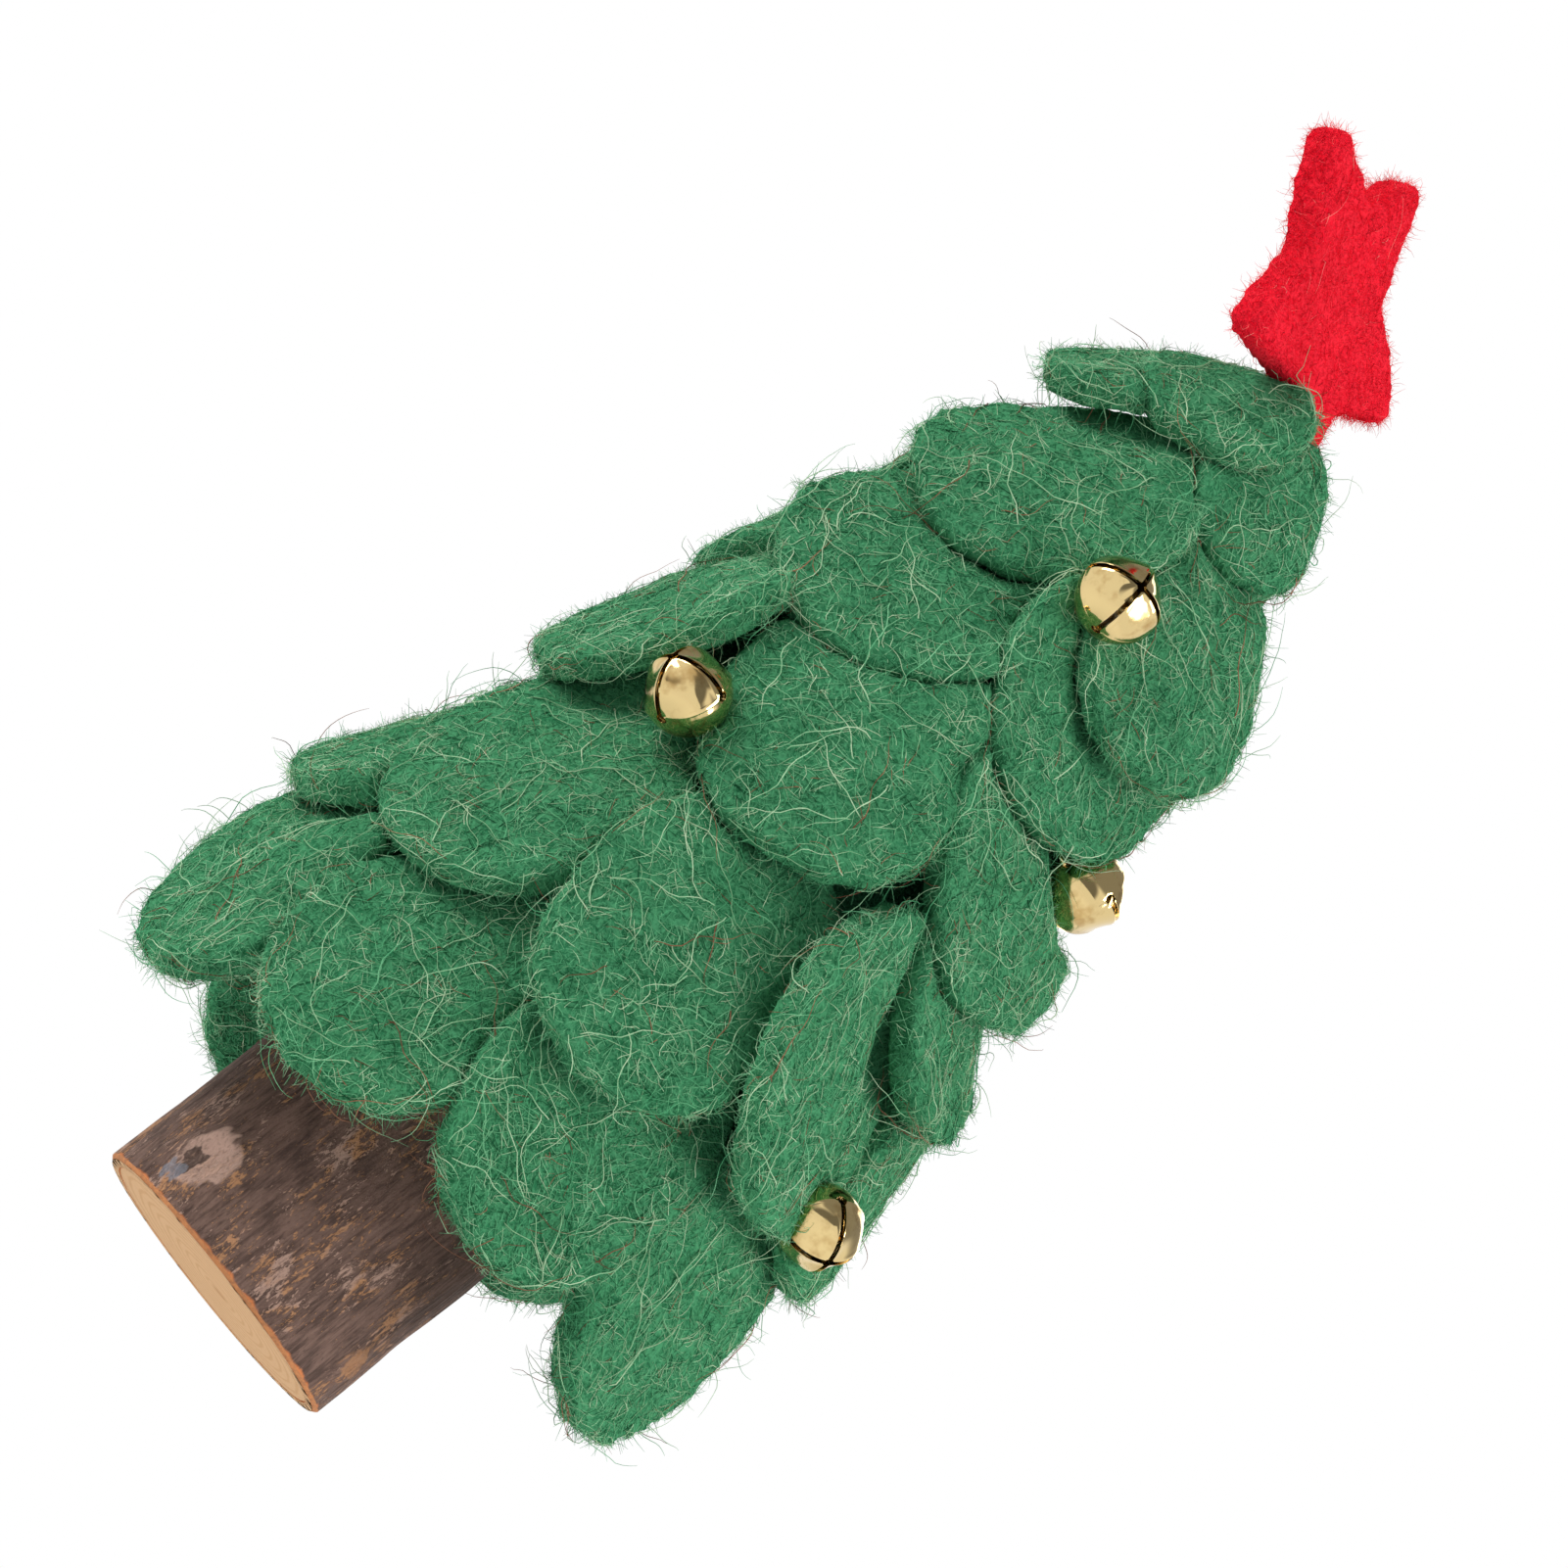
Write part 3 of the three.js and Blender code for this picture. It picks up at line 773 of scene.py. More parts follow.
def new_piece(name: str, mesh: bpy.types.Mesh, materials: Iterable[bpy.types.Material]) -> bpy.types.Object:
    """Put a finished mesh into the scene.

    Args:
        name: The piece's name.
        mesh: Its mesh, in place.
        materials: Its materials, in the order that its faces count them.

    Returns:
        The piece.
    """
    mesh.name = name
    for index, material in enumerate(materials):
        if index < len(mesh.materials):
            mesh.materials[index] = material
        else:
            mesh.materials.append(material)
    piece = bpy.data.objects.new(name, mesh)
    bpy.context.scene.collection.objects.link(piece)
    return piece


def settle(piece: bpy.types.Object, body: str, slot: Slot, *nodes: str) -> bpy.types.Object:
    """Say what a piece rides on and hide the solids that it stands for.

    Args:
        piece: The piece.
        body: The body that it moves with.
        slot: Its material slot. Not used.
        *nodes: The CAD nodes that it replaces.

    Returns:
        The piece.
    """
    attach(piece, body)
    if nodes:
        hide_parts(*nodes)
    LOG.info("%s: %d faces", piece.name, len(piece.data.polygons))
    return piece


def mesh_from(bm: bmesh.types.BMesh, name: str) -> bpy.types.Mesh:
    """Write a bmesh to a new smooth-shaded mesh and free it.

    Args:
        bm: The bmesh.
        name: The mesh's name.

    Returns:
        The mesh.
    """
    mesh = bpy.data.meshes.new(name)
    bm.to_mesh(mesh)
    bm.free()
    mesh.shade_smooth()
    return mesh


def evaluated_mesh(stand: bpy.types.Object) -> bpy.types.Mesh:
    """Make a mesh of an object as its modifiers or its curve leave it, and remove the object.

    Args:
        stand: The object, not yet in the scene.

    Returns:
        The mesh.
    """
    bpy.context.scene.collection.objects.link(stand)
    graph = bpy.context.evaluated_depsgraph_get()
    made = bpy.data.meshes.new_from_object(stand.evaluated_get(graph), depsgraph=graph)
    bpy.data.objects.remove(stand)
    return made


def modified(mesh: bpy.types.Mesh, kind: str, **settings: object) -> bpy.types.Mesh:
    """Run a mesh through one modifier.

    Args:
        mesh: The mesh, which is used up.
        kind: The modifier's type.
        **settings: Properties to set on the modifier.

    Returns:
        The new mesh.
    """
    stand = bpy.data.objects.new("modifier_stand", mesh)
    modifier = stand.modifiers.new("step", kind)
    for name, value in settings.items():
        setattr(modifier, name, value)
    made = evaluated_mesh(stand)
    bpy.data.meshes.remove(mesh)
    return made


def cad_copy(node: str) -> bpy.types.Mesh:
    """Copy a CAD node's mesh, with its loose triangles joined.

    Args:
        node: The node's name.

    Returns:
        The copy.
    """
    bm = bmesh.new()
    bm.from_mesh(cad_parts[node].data)
    bmesh.ops.remove_doubles(bm, verts=bm.verts, dist=WELD)
    return mesh_from(bm, node + "_copy")


def cad_surface(node: str) -> BVHTree:
    """Give a CAD node's surface, for measuring.

    Args:
        node: The node's name.

    Returns:
        The surface.
    """
    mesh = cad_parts[node].data
    return BVHTree.FromPolygons([vert.co for vert in mesh.vertices],
                                [list(face.vertices) for face in mesh.polygons])


def face_lay(mesh: bpy.types.Mesh) -> tuple[numpy.ndarray, numpy.ndarray]:
    """Read the normals and the areas of a mesh's faces.

    Args:
        mesh: The mesh.

    Returns:
        A row for each face's normal, and each face's area.
    """
    count = len(mesh.polygons)
    normals, areas = numpy.empty(3 * count), numpy.empty(count)
    mesh.polygons.foreach_get("normal", normals)
    mesh.polygons.foreach_get("area", areas)
    return normals.reshape(count, 3), areas


def facing(mesh: bpy.types.Mesh) -> Vector:
    """Find the axis that most of a sheet's surface looks along."""
    normals, areas = face_lay(mesh)
    spread = normals.T @ (normals * areas[:, None])
    return Vector(numpy.linalg.eigh(spread)[1][:, -1])


def outline_area(mesh: bpy.types.Mesh) -> float:
    """Work out the area inside a sheet's outline, seen along the way that it faces."""
    normals, areas = face_lay(mesh)
    return float(numpy.abs(normals @ numpy.array(facing(mesh))) @ areas) / 2


@dataclass(frozen=True)
class FeltShaper:
    """Turns a felt piece's solid into soft felt: softened rims and a slightly uneven surface."""

    voxel: float = 0.6 * MM
    rim_passes: int = 4
    flat_passes: int = 40
    flat_turn: float = math.radians(12)    # where the surface turns less than this, it counts as flat
    swell: float = 0.12 * MM
    long_wave: float = 11.0 * MM
    long_depth: float = 0.5 * MM
    short_wave: float = 3.6 * MM
    short_depth: float = 0.22 * MM
    tuck_reach: float = 4.0 * MM
    tuck_depth: float = 1.4 * MM
    slack_middle: float = 0.5           # share of tuck_depth that felt is pressed in, and how it varies
    slack_swing: float = 1.5
    slack_least: float = 0.05
    slack_most: float = 1.3

    @staticmethod
    def smooth(bm: bmesh.types.BMesh, verts: list[bmesh.types.BMVert], passes: int) -> None:
        """Even out some vertices.

        Args:
            bm: The mesh that they are in.
            verts: The vertices.
            passes: How many times.
        """
        for _ in range(passes):
            bmesh.ops.smooth_vert(bm, verts=verts, factor=SMOOTH_SHARE, use_axis_x=True, use_axis_y=True,
                                  use_axis_z=True)
        bm.normal_update()

    def flat_verts(self, bm: bmesh.types.BMesh) -> list[bmesh.types.BMVert]:
        """Find the vertices away from the rims."""
        least = math.cos(self.flat_turn)
        return [vert for vert in bm.verts
                if all(edge.other_vert(vert).normal.dot(vert.normal) > least for edge in vert.link_edges)]

    def uneven(self, place: Vector) -> Vector:
        """Give how far felt at a place is pushed aside, the same for every piece there.

        Args:
            place: The place.

        Returns:
            The push.
        """
        slow = noise.noise_vector(place / self.long_wave) * self.long_depth
        return slow + noise.noise_vector(place / self.short_wave) * self.short_depth

    def tuck(self, place: Vector, overlying: list[BVHTree]) -> Vector:
        """Give how far felt is pressed in towards the trunk's axis beside the leaves that lie over it.

        Args:
            place: The place on the felt.
            overlying: The surfaces of the leaves over it.

        Returns:
            The push.
        """
        found = [tree.find_nearest(place, self.tuck_reach)[3] for tree in overlying]
        nearest = min((gap for gap in found if gap is not None), default=self.tuck_reach)
        share = 1.0 - nearest / self.tuck_reach
        slack = self.slack_middle + self.slack_swing * noise.noise(place / self.long_wave)
        slack = min(max(slack, self.slack_least), self.slack_most)
        return -outward(place) * self.tuck_depth * slack * share * share * (3 - 2 * share)

    def shape(self, node: str, overlying: list[BVHTree]) -> bpy.types.Mesh:
        """Make the soft mesh for a CAD node.

        Args:
            node: The node's name.
            overlying: The surfaces of the leaves that lie over it.

        Returns:
            The mesh.
        """
        fine = modified(cad_copy(node), "REMESH", mode="VOXEL", voxel_size=self.voxel)
        bm = bmesh.new()
        bm.from_mesh(fine)
        bpy.data.meshes.remove(fine)
        self.smooth(bm, bm.verts[:], self.rim_passes)
        self.smooth(bm, self.flat_verts(bm), self.flat_passes)
        for vert in bm.verts:
            push = self.tuck(vert.co, overlying) if overlying else Vector()
            vert.co += vert.normal * self.swell + self.uneven(vert.co) + push
        return mesh_from(bm, node + "_soft")


@dataclass(frozen=True)
class StrandKind:
    """One kind of loose fibre on felt. Lengths are in metres, angles in radians."""

    name: str
    per_mm2: float                      # how many stand on a square millimetre
    length: tuple[float, float]
    thickness: float
    points: int
    rise: tuple[float, float]           # angle off the felt where it starts
    curl: float                         # how much it bends at a point
    tints: tuple[float, float, float, float]    # shares of the four fibre colours
    hug: float = 0.0                    # how closely it follows the felt, from 0 to 1
    lift: tuple[float, float] = (0.0, 0.0)      # how far off the felt it lies
    swing: float = 0.0                  # how far it waves to either side
    rim_only: bool = False              # grows only on the felt's edges


LEAF_STRANDS = (
    StrandKind("drift", per_mm2=0.05, length=(5.0 * MM, 14.0 * MM), thickness=0.12 * MM, points=12,
               rise=(0.0, 0.25), curl=0.10, tints=(0.65, 0.27, 0.08, 0.0), hug=0.4,
               lift=(0.05 * MM, 0.4 * MM), swing=0.3),
    StrandKind("mat", per_mm2=1.85, length=(1.0 * MM, 4.0 * MM), thickness=0.088 * MM, points=4,
               rise=(0.0, 0.2), curl=0.3, tints=(0.24, 0.60, 0.03, 0.13), hug=0.6,
               lift=(0.0, 0.15 * MM), swing=0.25),
    StrandKind("nap", per_mm2=1.8, length=(0.6 * MM, 1.5 * MM), thickness=0.055 * MM, points=2,
               rise=(0.4, 1.2), curl=0.4, tints=(0.20, 0.66, 0.02, 0.12)),
    StrandKind("edge", per_mm2=2.6, length=(0.8 * MM, 2.4 * MM), thickness=0.065 * MM, points=3,
               rise=(0.2, 1.2), curl=0.3, tints=(0.16, 0.71, 0.02, 0.11), rim_only=True),
    StrandKind("bridge", per_mm2=0.22, length=(4.0 * MM, 10.0 * MM), thickness=0.085 * MM, points=10,
               rise=(0.0, 0.4), curl=0.1, tints=(0.50, 0.35, 0.15, 0.0), hug=0.15,
               lift=(0.1 * MM, 0.5 * MM), swing=0.25, rim_only=True),
    StrandKind("stray", per_mm2=0.01, length=(2.5 * MM, 6.0 * MM), thickness=0.07 * MM, points=8,
               rise=(0.2, 0.8), curl=0.2, tints=(0.6, 0.35, 0.05, 0.0), swing=0.2),
)
STAR_STRANDS = (
    StrandKind("drift", per_mm2=0.02, length=(3.0 * MM, 7.0 * MM), thickness=0.07 * MM, points=12,
               rise=(0.0, 0.25), curl=0.1, tints=(0.6, 0.1, 0.0, 0.3), hug=0.5,
               lift=(0.02 * MM, 0.3 * MM), swing=0.25),
    StrandKind("mat", per_mm2=1.0, length=(1.0 * MM, 3.0 * MM), thickness=0.07 * MM, points=4,
               rise=(0.0, 0.2), curl=0.25, tints=(0.01, 0.55, 0.14, 0.30), hug=0.6,
               lift=(0.0, 0.15 * MM)),
    StrandKind("nap", per_mm2=2.6, length=(0.5 * MM, 1.2 * MM), thickness=0.055 * MM, points=2,
               rise=(0.4, 1.3), curl=0.5, tints=(0.01, 0.73, 0.10, 0.16)),
    StrandKind("edge", per_mm2=7.5, length=(0.6 * MM, 1.9 * MM), thickness=0.047 * MM, points=4,
               rise=(0.1, 1.1), curl=0.5, tints=(0.03, 0.60, 0.06, 0.31), rim_only=True),
)


class FibreCoat:
    """Grows loose fibres where felt shows."""

    ROOT_DEPTH = 0.15 * MM
    CLEAR_START = 0.4 * MM
    CLEAR_REACH = 14.0 * MM             # felt with other felt this close over it grows no fibres
    TIP_TAPER = 0.35
    WAVE = 5.0 * MM                     # from one swing of a wavy fibre to the next
    RIM_TURN = 0.7                      # felt that looks aside from its sheet by more than this is its rim
    BEND_KEPT = 0.6                     # share of a fibre's bend that goes on past a point
    SIDES = 3

    def __init__(self, felts: list[bpy.types.Object]) -> None:
        """Join the felt pieces' surfaces, which fibres lie on and are hidden by.

        Args:
            felts: The felt pieces.
        """
        corners: list[Vector] = []
        faces: list[list[int]] = []
        for felt in felts:
            start = len(corners)
            corners.extend(vert.co.copy() for vert in felt.data.vertices)
            faces.extend([start + corner for corner in face.vertices] for face in felt.data.polygons)
        self.surface = BVHTree.FromPolygons(corners, faces)
        self.section = self.strand_section()

    def strand_section(self) -> bpy.types.Object:
        """Make the outline that every fibre has across its length, 1 mm wide.

        Returns:
            The outline's curve.
        """
        curve = bpy.data.curves.new("strand_section", "CURVE")
        spline = curve.splines.new("POLY")
        spline.points.add(self.SIDES - 1)
        for index, point in enumerate(spline.points):
            angle = 2 * math.pi * index / self.SIDES
            point.co = (MM / 2 * math.cos(angle), MM / 2 * math.sin(angle), 0.0, 1.0)
        spline.use_cyclic_u = True
        return bpy.data.objects.new("strand_section", curve)

    def shows(self, place: Vector, normal: Vector) -> bool:
        """Tell whether no felt lies over a place within CLEAR_REACH."""
        start = place + normal * self.CLEAR_START
        return self.surface.ray_cast(start, normal, self.CLEAR_REACH)[0] is None

    def path(self, rng: random.Random, root: Vector, normal: Vector, kind: StrandKind) -> list[Vector]:
        """Lay one fibre from its root.

        Args:
            rng: The seeded draws.
            root: Where it starts on the felt.
            normal: The felt's normal there.
            kind: The kind of fibre.

        Returns:
            The points along it.
        """
        side = normal.orthogonal().normalized()
        side.rotate(Quaternion(normal, rng.uniform(0, 2 * math.pi)))
        rise = rng.uniform(*kind.rise)
        heading = side * math.cos(rise) + normal * math.sin(rise)
        step = rng.uniform(*kind.length) / (kind.points - 1)
        lift = rng.uniform(*kind.lift)
        bend = rng.gauss(0, kind.curl)
        phase = rng.uniform(0, 2 * math.pi)
        advance = 2 * math.pi * step / self.WAVE
        point = root - normal * self.ROOT_DEPTH
        points = [point]
        for index in range(kind.points - 1):
            bend = self.BEND_KEPT * bend + rng.gauss(0, kind.curl)
            wave = phase + advance * index
            swing = kind.swing * (math.sin(wave + advance) - math.sin(wave))
            heading.rotate(Quaternion(normal, bend + swing))
            point = point + heading * step
            if kind.hug:
                place, normal, _, _ = self.surface.find_nearest(point)
                laid = place + normal * lift
                inside = (point - place).dot(normal) < lift
                point = laid if inside else point.lerp(laid, kind.hug)
                heading = (heading - normal * heading.dot(normal) * kind.hug).normalized()
            points.append(point)
        return points

    def roots(self, felt: bpy.types.Object, rng: random.Random,
              kind: StrandKind) -> list[tuple[Vector, Vector]]:
        """Scatter roots evenly over the felt that shows.

        Args:
            felt: The felt piece.
            rng: The seeded draws.
            kind: The kind of fibre.

        Returns:
            Each root's place and normal.
        """
        found = []
        per_area = kind.per_mm2 / MM ** 2
        axis = facing(felt.data)
        for face in felt.data.polygons:
            if kind.rim_only and abs(face.normal.dot(axis)) > self.RIM_TURN:
                continue
            due = face.area * per_area
            count = int(due) + (rng.random() < due % 1.0)
            for _ in range(count):
                corners = [felt.data.vertices[i].co for i in face.vertices]
                share = rng.random()
                edge = corners[0].lerp(corners[1], share)
                far_edge = corners[-1].lerp(corners[-2], share)
                place = edge.lerp(far_edge, rng.random())
                normal = Vector(face.normal)
                if self.shows(place, normal):
                    found.append((place, normal))
        return found

    def grow(self, felt: bpy.types.Object, kinds: tuple[StrandKind, ...], seed: int,
             tints: list[bpy.types.Material]) -> bpy.types.Object:
        """Grow loose fibres on a felt piece.

        Args:
            felt: The felt piece.
            kinds: The kinds of fibre.
            seed: What its draws start from.
            tints: The four fibre materials.

        Returns:
            The fibres, as one mesh piece.
        """
        rng = random.Random(seed)
        name = felt.name.replace("_felt", "_fibres")
        curve = bpy.data.curves.new(name, "CURVE")
        curve.dimensions = "3D"
        curve.bevel_mode = "OBJECT"
        curve.bevel_object = self.section
        curve.use_fill_caps = True
        for tint in tints:
            curve.materials.append(tint)
        for kind in kinds:
            width = kind.thickness / MM
            for root, normal in self.roots(felt, rng, kind):
                points = self.path(rng, root, normal, kind)
                spline = curve.splines.new("POLY")
                spline.points.add(len(points) - 1)
                spline.points.foreach_set("co", [x for point in points for x in (*point, 1.0)])
                last = len(points) - 1
                radii = [width * (1 - (1 - self.TIP_TAPER) * (i / last) ** 2) for i in range(last + 1)]
                spline.points.foreach_set("radius", radii)
                spline.material_index = rng.choices(range(len(tints)), kind.tints)[0]
        mesh = evaluated_mesh(bpy.data.objects.new("fibre_stand", curve))
        bpy.data.curves.remove(curve)
        mesh.shade_smooth()
        return new_piece(name, mesh, tints)


@dataclass
class FeltTree:
    """The cone, its leaves and the star, all of wool felt, with their loose fibres."""

    finishes: Finishes
    thickness: float = 3.0 * MM
    leaf_cuts: tuple[tuple[float, float], ...] = (
        (24.0, 31.0), (24.5, 31.0), (25.0, 29.0), (24.0, 27.0), (23.0, 27.0), (15.0, 16.0))
    star_cut: tuple[float, float] = (37.0, 35.0)
    star_node: str = "felt_star"
    seed: int = 1224
    leaf_shaper: FeltShaper = FeltShaper()
    star_shaper: FeltShaper = FeltShaper(rim_passes=2, swell=0.3 * MM)
    core_shaper: FeltShaper = FeltShaper(voxel=0.9 * MM, swell=0.0, long_depth=0.2 * MM,
                                         short_depth=0.1 * MM)

    def leaf_nodes(self) -> list[str]:
        """Name the leaf nodes, tier by tier."""
        return sorted(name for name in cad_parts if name.startswith("tier"))

    def flat_area(self, node: str) -> float:
        """Work out a felt piece's flat area from its solid.

        Args:
            node: The solid's node.

        Returns:
            The area inside its outline, or what its volume fills at the felt's thickness if that is more.
        """
        solid = cad_copy(node)
        bm = bmesh.new()
        bm.from_mesh(solid)
        area = max(bm.calc_volume() / self.thickness, outline_area(solid))
        bm.free()
        bpy.data.meshes.remove(solid)
        return area

    def build_leaf(self, node: str, overlying: list[BVHTree]) -> bpy.types.Object:
        """Make one soft leaf in the place of its solid.

        Args:
            node: The CAD node that it stands for.
            overlying: The surfaces of the leaves that lie over it.

        Returns:
            The piece.
        """
        leaf = new_piece(node + "_felt", self.leaf_shaper.shape(node, overlying), [self.finishes.green])
        return settle(leaf, TREE_BODY, Slot.GREEN_FELT, node)

    def build_star(self) -> bpy.types.Object:
        """Make the soft star in the place of its solid."""
        mesh = self.star_shaper.shape(self.star_node, [])
        star = new_piece(self.star_node + "_felt", mesh, [self.finishes.red])
        return settle(star, TREE_BODY, Slot.RED_FELT, self.star_node)

    def build_core(self) -> bpy.types.Object:
        """Make the felted cone that the leaves are glued to."""
        core = new_piece("cone_felt", self.core_shaper.shape(CORE_NODE, []), [self.finishes.core])
        return settle(core, TREE_BODY, Slot.CORE_FELT, CORE_NODE)

    def build(self) -> None:
        """Make the cone, every leaf, the star and their fibres."""
        noise.seed_set(self.seed)       # until it is seeded, noise_vector follows the clock
        core = self.build_core()
        nodes = self.leaf_nodes()
        surfaces = [cad_surface(node) for node in nodes]
        leaves = [self.build_leaf(node, surfaces[index + 1:]) for index, node in enumerate(nodes)]
        star = self.build_star()
        coat = FibreCoat([*leaves, star, core])
        for index, (node, leaf) in enumerate(zip(nodes, leaves)):
            fibres = coat.grow(leaf, LEAF_STRANDS, self.seed + index, self.finishes.green_fibres)
            settle(fibres, TREE_BODY, Slot.GREEN_FELT)
            self.declare(node)
        fibres = coat.grow(star, STAR_STRANDS, self.seed - 1, self.finishes.red_fibres)
        settle(fibres, TREE_BODY, Slot.RED_FELT)
        self.declare(self.star_node)

    def declare(self, node: str) -> None:
        """Work out a felt piece's flat size from its solid; the result is not kept.

        Args:
            node: The solid that it stands for.
        """
        self.flat_area(node)


@dataclass
class Branch:
    """The sawn branch that the tree stands on: bark round wood."""

    INNER = 1.0                         # the radius that stands for the bark's inner face in a profile
    OUTER = 2.0                         # and the one for its outer face
    ROUGH_FROM = 0.9                    # share of the bark's wall that stays smooth
    PROBE_START = 60.0 * MM             # how far out a measuring ray starts
    END_MARGIN = 0.05 * MM              # how far measuring keeps from the ends

    finishes: Finishes
    bark_node: str = "trunk_bark"
    wood_node: str = "trunk_wood"
    looks: BarkFinish = BarkFinish()
    sides: int = 200
    rings: int = 64
    face_rings: int = 10
    edge_round: float = 0.35 * MM
    snug: float = 0.03 * MM             # left between the bark and the wood
    cut_start: float = 1.72             # where the sawn bark turns brown, from INNER to OUTER
    corner_start: float = 1.95          # where its corner starts, counted the same way
    furrow_depth: float = 0.16 * MM
    furrow_wave: float = 2.0 * MM
    furrow_draw: float = 0.16           # how much a furrow's length counts against its width
    furrow_layers: tuple[float, float, int] = (0.9, 2.1, 4)     # fall, step and count of finer layers
    lump_depth: float = 0.15 * MM
    lump_wave: float = 7.0 * MM
    scar_reach: float = 3.0 * MM
    scar_rim: float = 0.4 * MM
    scar_ring: tuple[float, float] = (0.9, 0.3)     # the rim's middle and width, as shares of the reach
    scar_dip: float = 0.25 * MM
    scar_hollow: tuple[float, float] = (0.0, 0.6)   # the same for the dip
    knot_reach: float = 2.0 * MM
    knot_rim: float = 0.5 * MM
    knot_ring: tuple[float, float] = (0.7, 0.35)    # and for the knot's rim
    face_share: float = 0.985           # of the wood's radius, where its end starts to round off
    face_round: float = 0.15 * MM
    saw_wave: float = 0.8 * MM
    saw_draw: float = 9.0               # how much longer than wide a saw mark is
    saw_depth: float = 0.06 * MM

    def girth(self, outline: BVHTree, place: Vector, top: float) -> float:
        """Measure a node's outer radius in the direction of a place.

        Args:
            outline: The node's surface.
            place: The place, at any distance from the axis.
            top: The node's height, which the measuring stays below.

        Returns:
            The radius.
        """
        out = outward(place)
        height = min(max(place.z, self.END_MARGIN), top - self.END_MARGIN)
        hit = outline.ray_cast(out * self.PROBE_START + Vector((0, 0, height)), -out)[0]
        return hit.to_2d().length

    def spun(self, profile: list[tuple[float, float]]) -> bmesh.types.BMesh:
        """Spin a profile round the branch's axis.

        Args:
            profile: Radius and height of each point.

        Returns:
            The spun surface.
        """
        bm = bmesh.new()
        verts = [bm.verts.new((0, -radius, height)) for radius, height in profile]
        edges = [bm.edges.new(pair) for pair in zip(verts, verts[1:])]
        bmesh.ops.spin(bm, geom=[*verts, *edges], cent=(0, 0, 0), axis=(0, 0, 1), dvec=(0, 0, 0),
                       angle=2 * math.pi, steps=self.sides, use_merge=True, use_duplicate=False)
        bmesh.ops.remove_doubles(bm, verts=bm.verts, dist=WELD)
        bmesh.ops.recalc_face_normals(bm, faces=bm.faces)
        return bm

    def bark_relief(self, place: Vector) -> float:
        """Give how far the bark stands out at a place: long furrows, lumps, a scar and a knot.

        Args:
            place: The place on the bark.

        Returns:
            The height, in metres.
        """
        along = Vector((place.x, place.y, place.z * self.furrow_draw)) / self.furrow_wave
        furrow = noise.fractal(along, *self.furrow_layers) * self.furrow_depth
        lump = noise.noise(place / self.lump_wave) * self.lump_depth
        scar = (place - self.looks.scar_place).length / self.scar_reach
        knot = (place - self.looks.knot_place).length / self.knot_reach
        rim = self.scar_rim * ridge(scar, *self.scar_ring) - self.scar_dip * ridge(scar, *self.scar_hollow)
        boss = self.knot_rim * ridge(knot, *self.knot_ring)
        return furrow + lump + rim + boss

    def build_bark(self) -> None:
        """Make the bark as a rough tube that fits round the wood."""
        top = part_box(self.bark_node)[1].z
        bark, wood = cad_surface(self.bark_node), cad_surface(self.wood_node)
        cut = [(radius, 0.0) for radius in (self.INNER, self.cut_start, self.corner_start)]
        wall = [(self.OUTER, self.edge_round + (top - self.edge_round) * i / self.rings)
                for i in range(self.rings + 1)]
        bm = self.spun([*cut, *wall, (self.INNER, top), (self.INNER, 0.0)])
        for face in bm.faces:
            centre = face.calc_center_median()
            if centre.z < self.edge_round:
                face.material_index = 1 if centre.to_2d().length > self.cut_start else 2
        for vert in bm.verts:
            share = vert.co.to_2d().length - self.INNER
            inside = self.girth(wood, vert.co, top) + self.snug
            outside = self.girth(bark, vert.co, top)
            out = outward(vert.co)
            radius = inside + (outside - inside) * min(share, 1.0)
            if share > self.ROUGH_FROM:
                place = out * outside + Vector((0, 0, vert.co.z))
                radius += self.bark_relief(place) - self.edge_round * (vert.co.z < WELD)
            vert.co = out * radius + Vector((0, 0, vert.co.z))
        piece = new_piece("branch_bark", mesh_from(bm, "branch_bark"),
                          [self.finishes.bark, self.finishes.cut_bark, self.finishes.wood])
        settle(piece, TREE_BODY, Slot.BARK, self.bark_node)

    def build_wood(self) -> None:
        """Make the wood, with a softened edge and shallow saw marks on its end."""
        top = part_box(self.wood_node)[1].z
        wood = cad_surface(self.wood_node)
        face = [(i / self.face_rings * self.face_share, 0.0) for i in range(self.face_rings + 1)]
        bm = self.spun([*face, (1.0, self.face_round), (1.0, top), (0.0, top)])
        for vert in bm.verts:
            share = vert.co.to_2d().length
            if share < WELD:
                continue
            place = outward(vert.co) * share * self.girth(wood, vert.co, top)
            saw = noise.noise(Vector((place.x / self.saw_draw, place.y, 0)) / self.saw_wave)
            lift = abs(saw) * self.saw_depth if vert.co.z < WELD else 0.0
            vert.co = place + Vector((0, 0, vert.co.z + lift))
        piece = new_piece("branch_wood", mesh_from(bm, "branch_wood"), [self.finishes.wood])
        settle(piece, TREE_BODY, Slot.WOOD, self.wood_node)

    def build(self) -> None:
        """Make the bark and the wood."""
        self.build_bark()
        self.build_wood()


@dataclass(frozen=True)
class BellPose:
    """Which way a bell's slots look: turn round +Z, rise, and roll round that way, in degrees."""

    turn: float
    rise: float
    roll: float


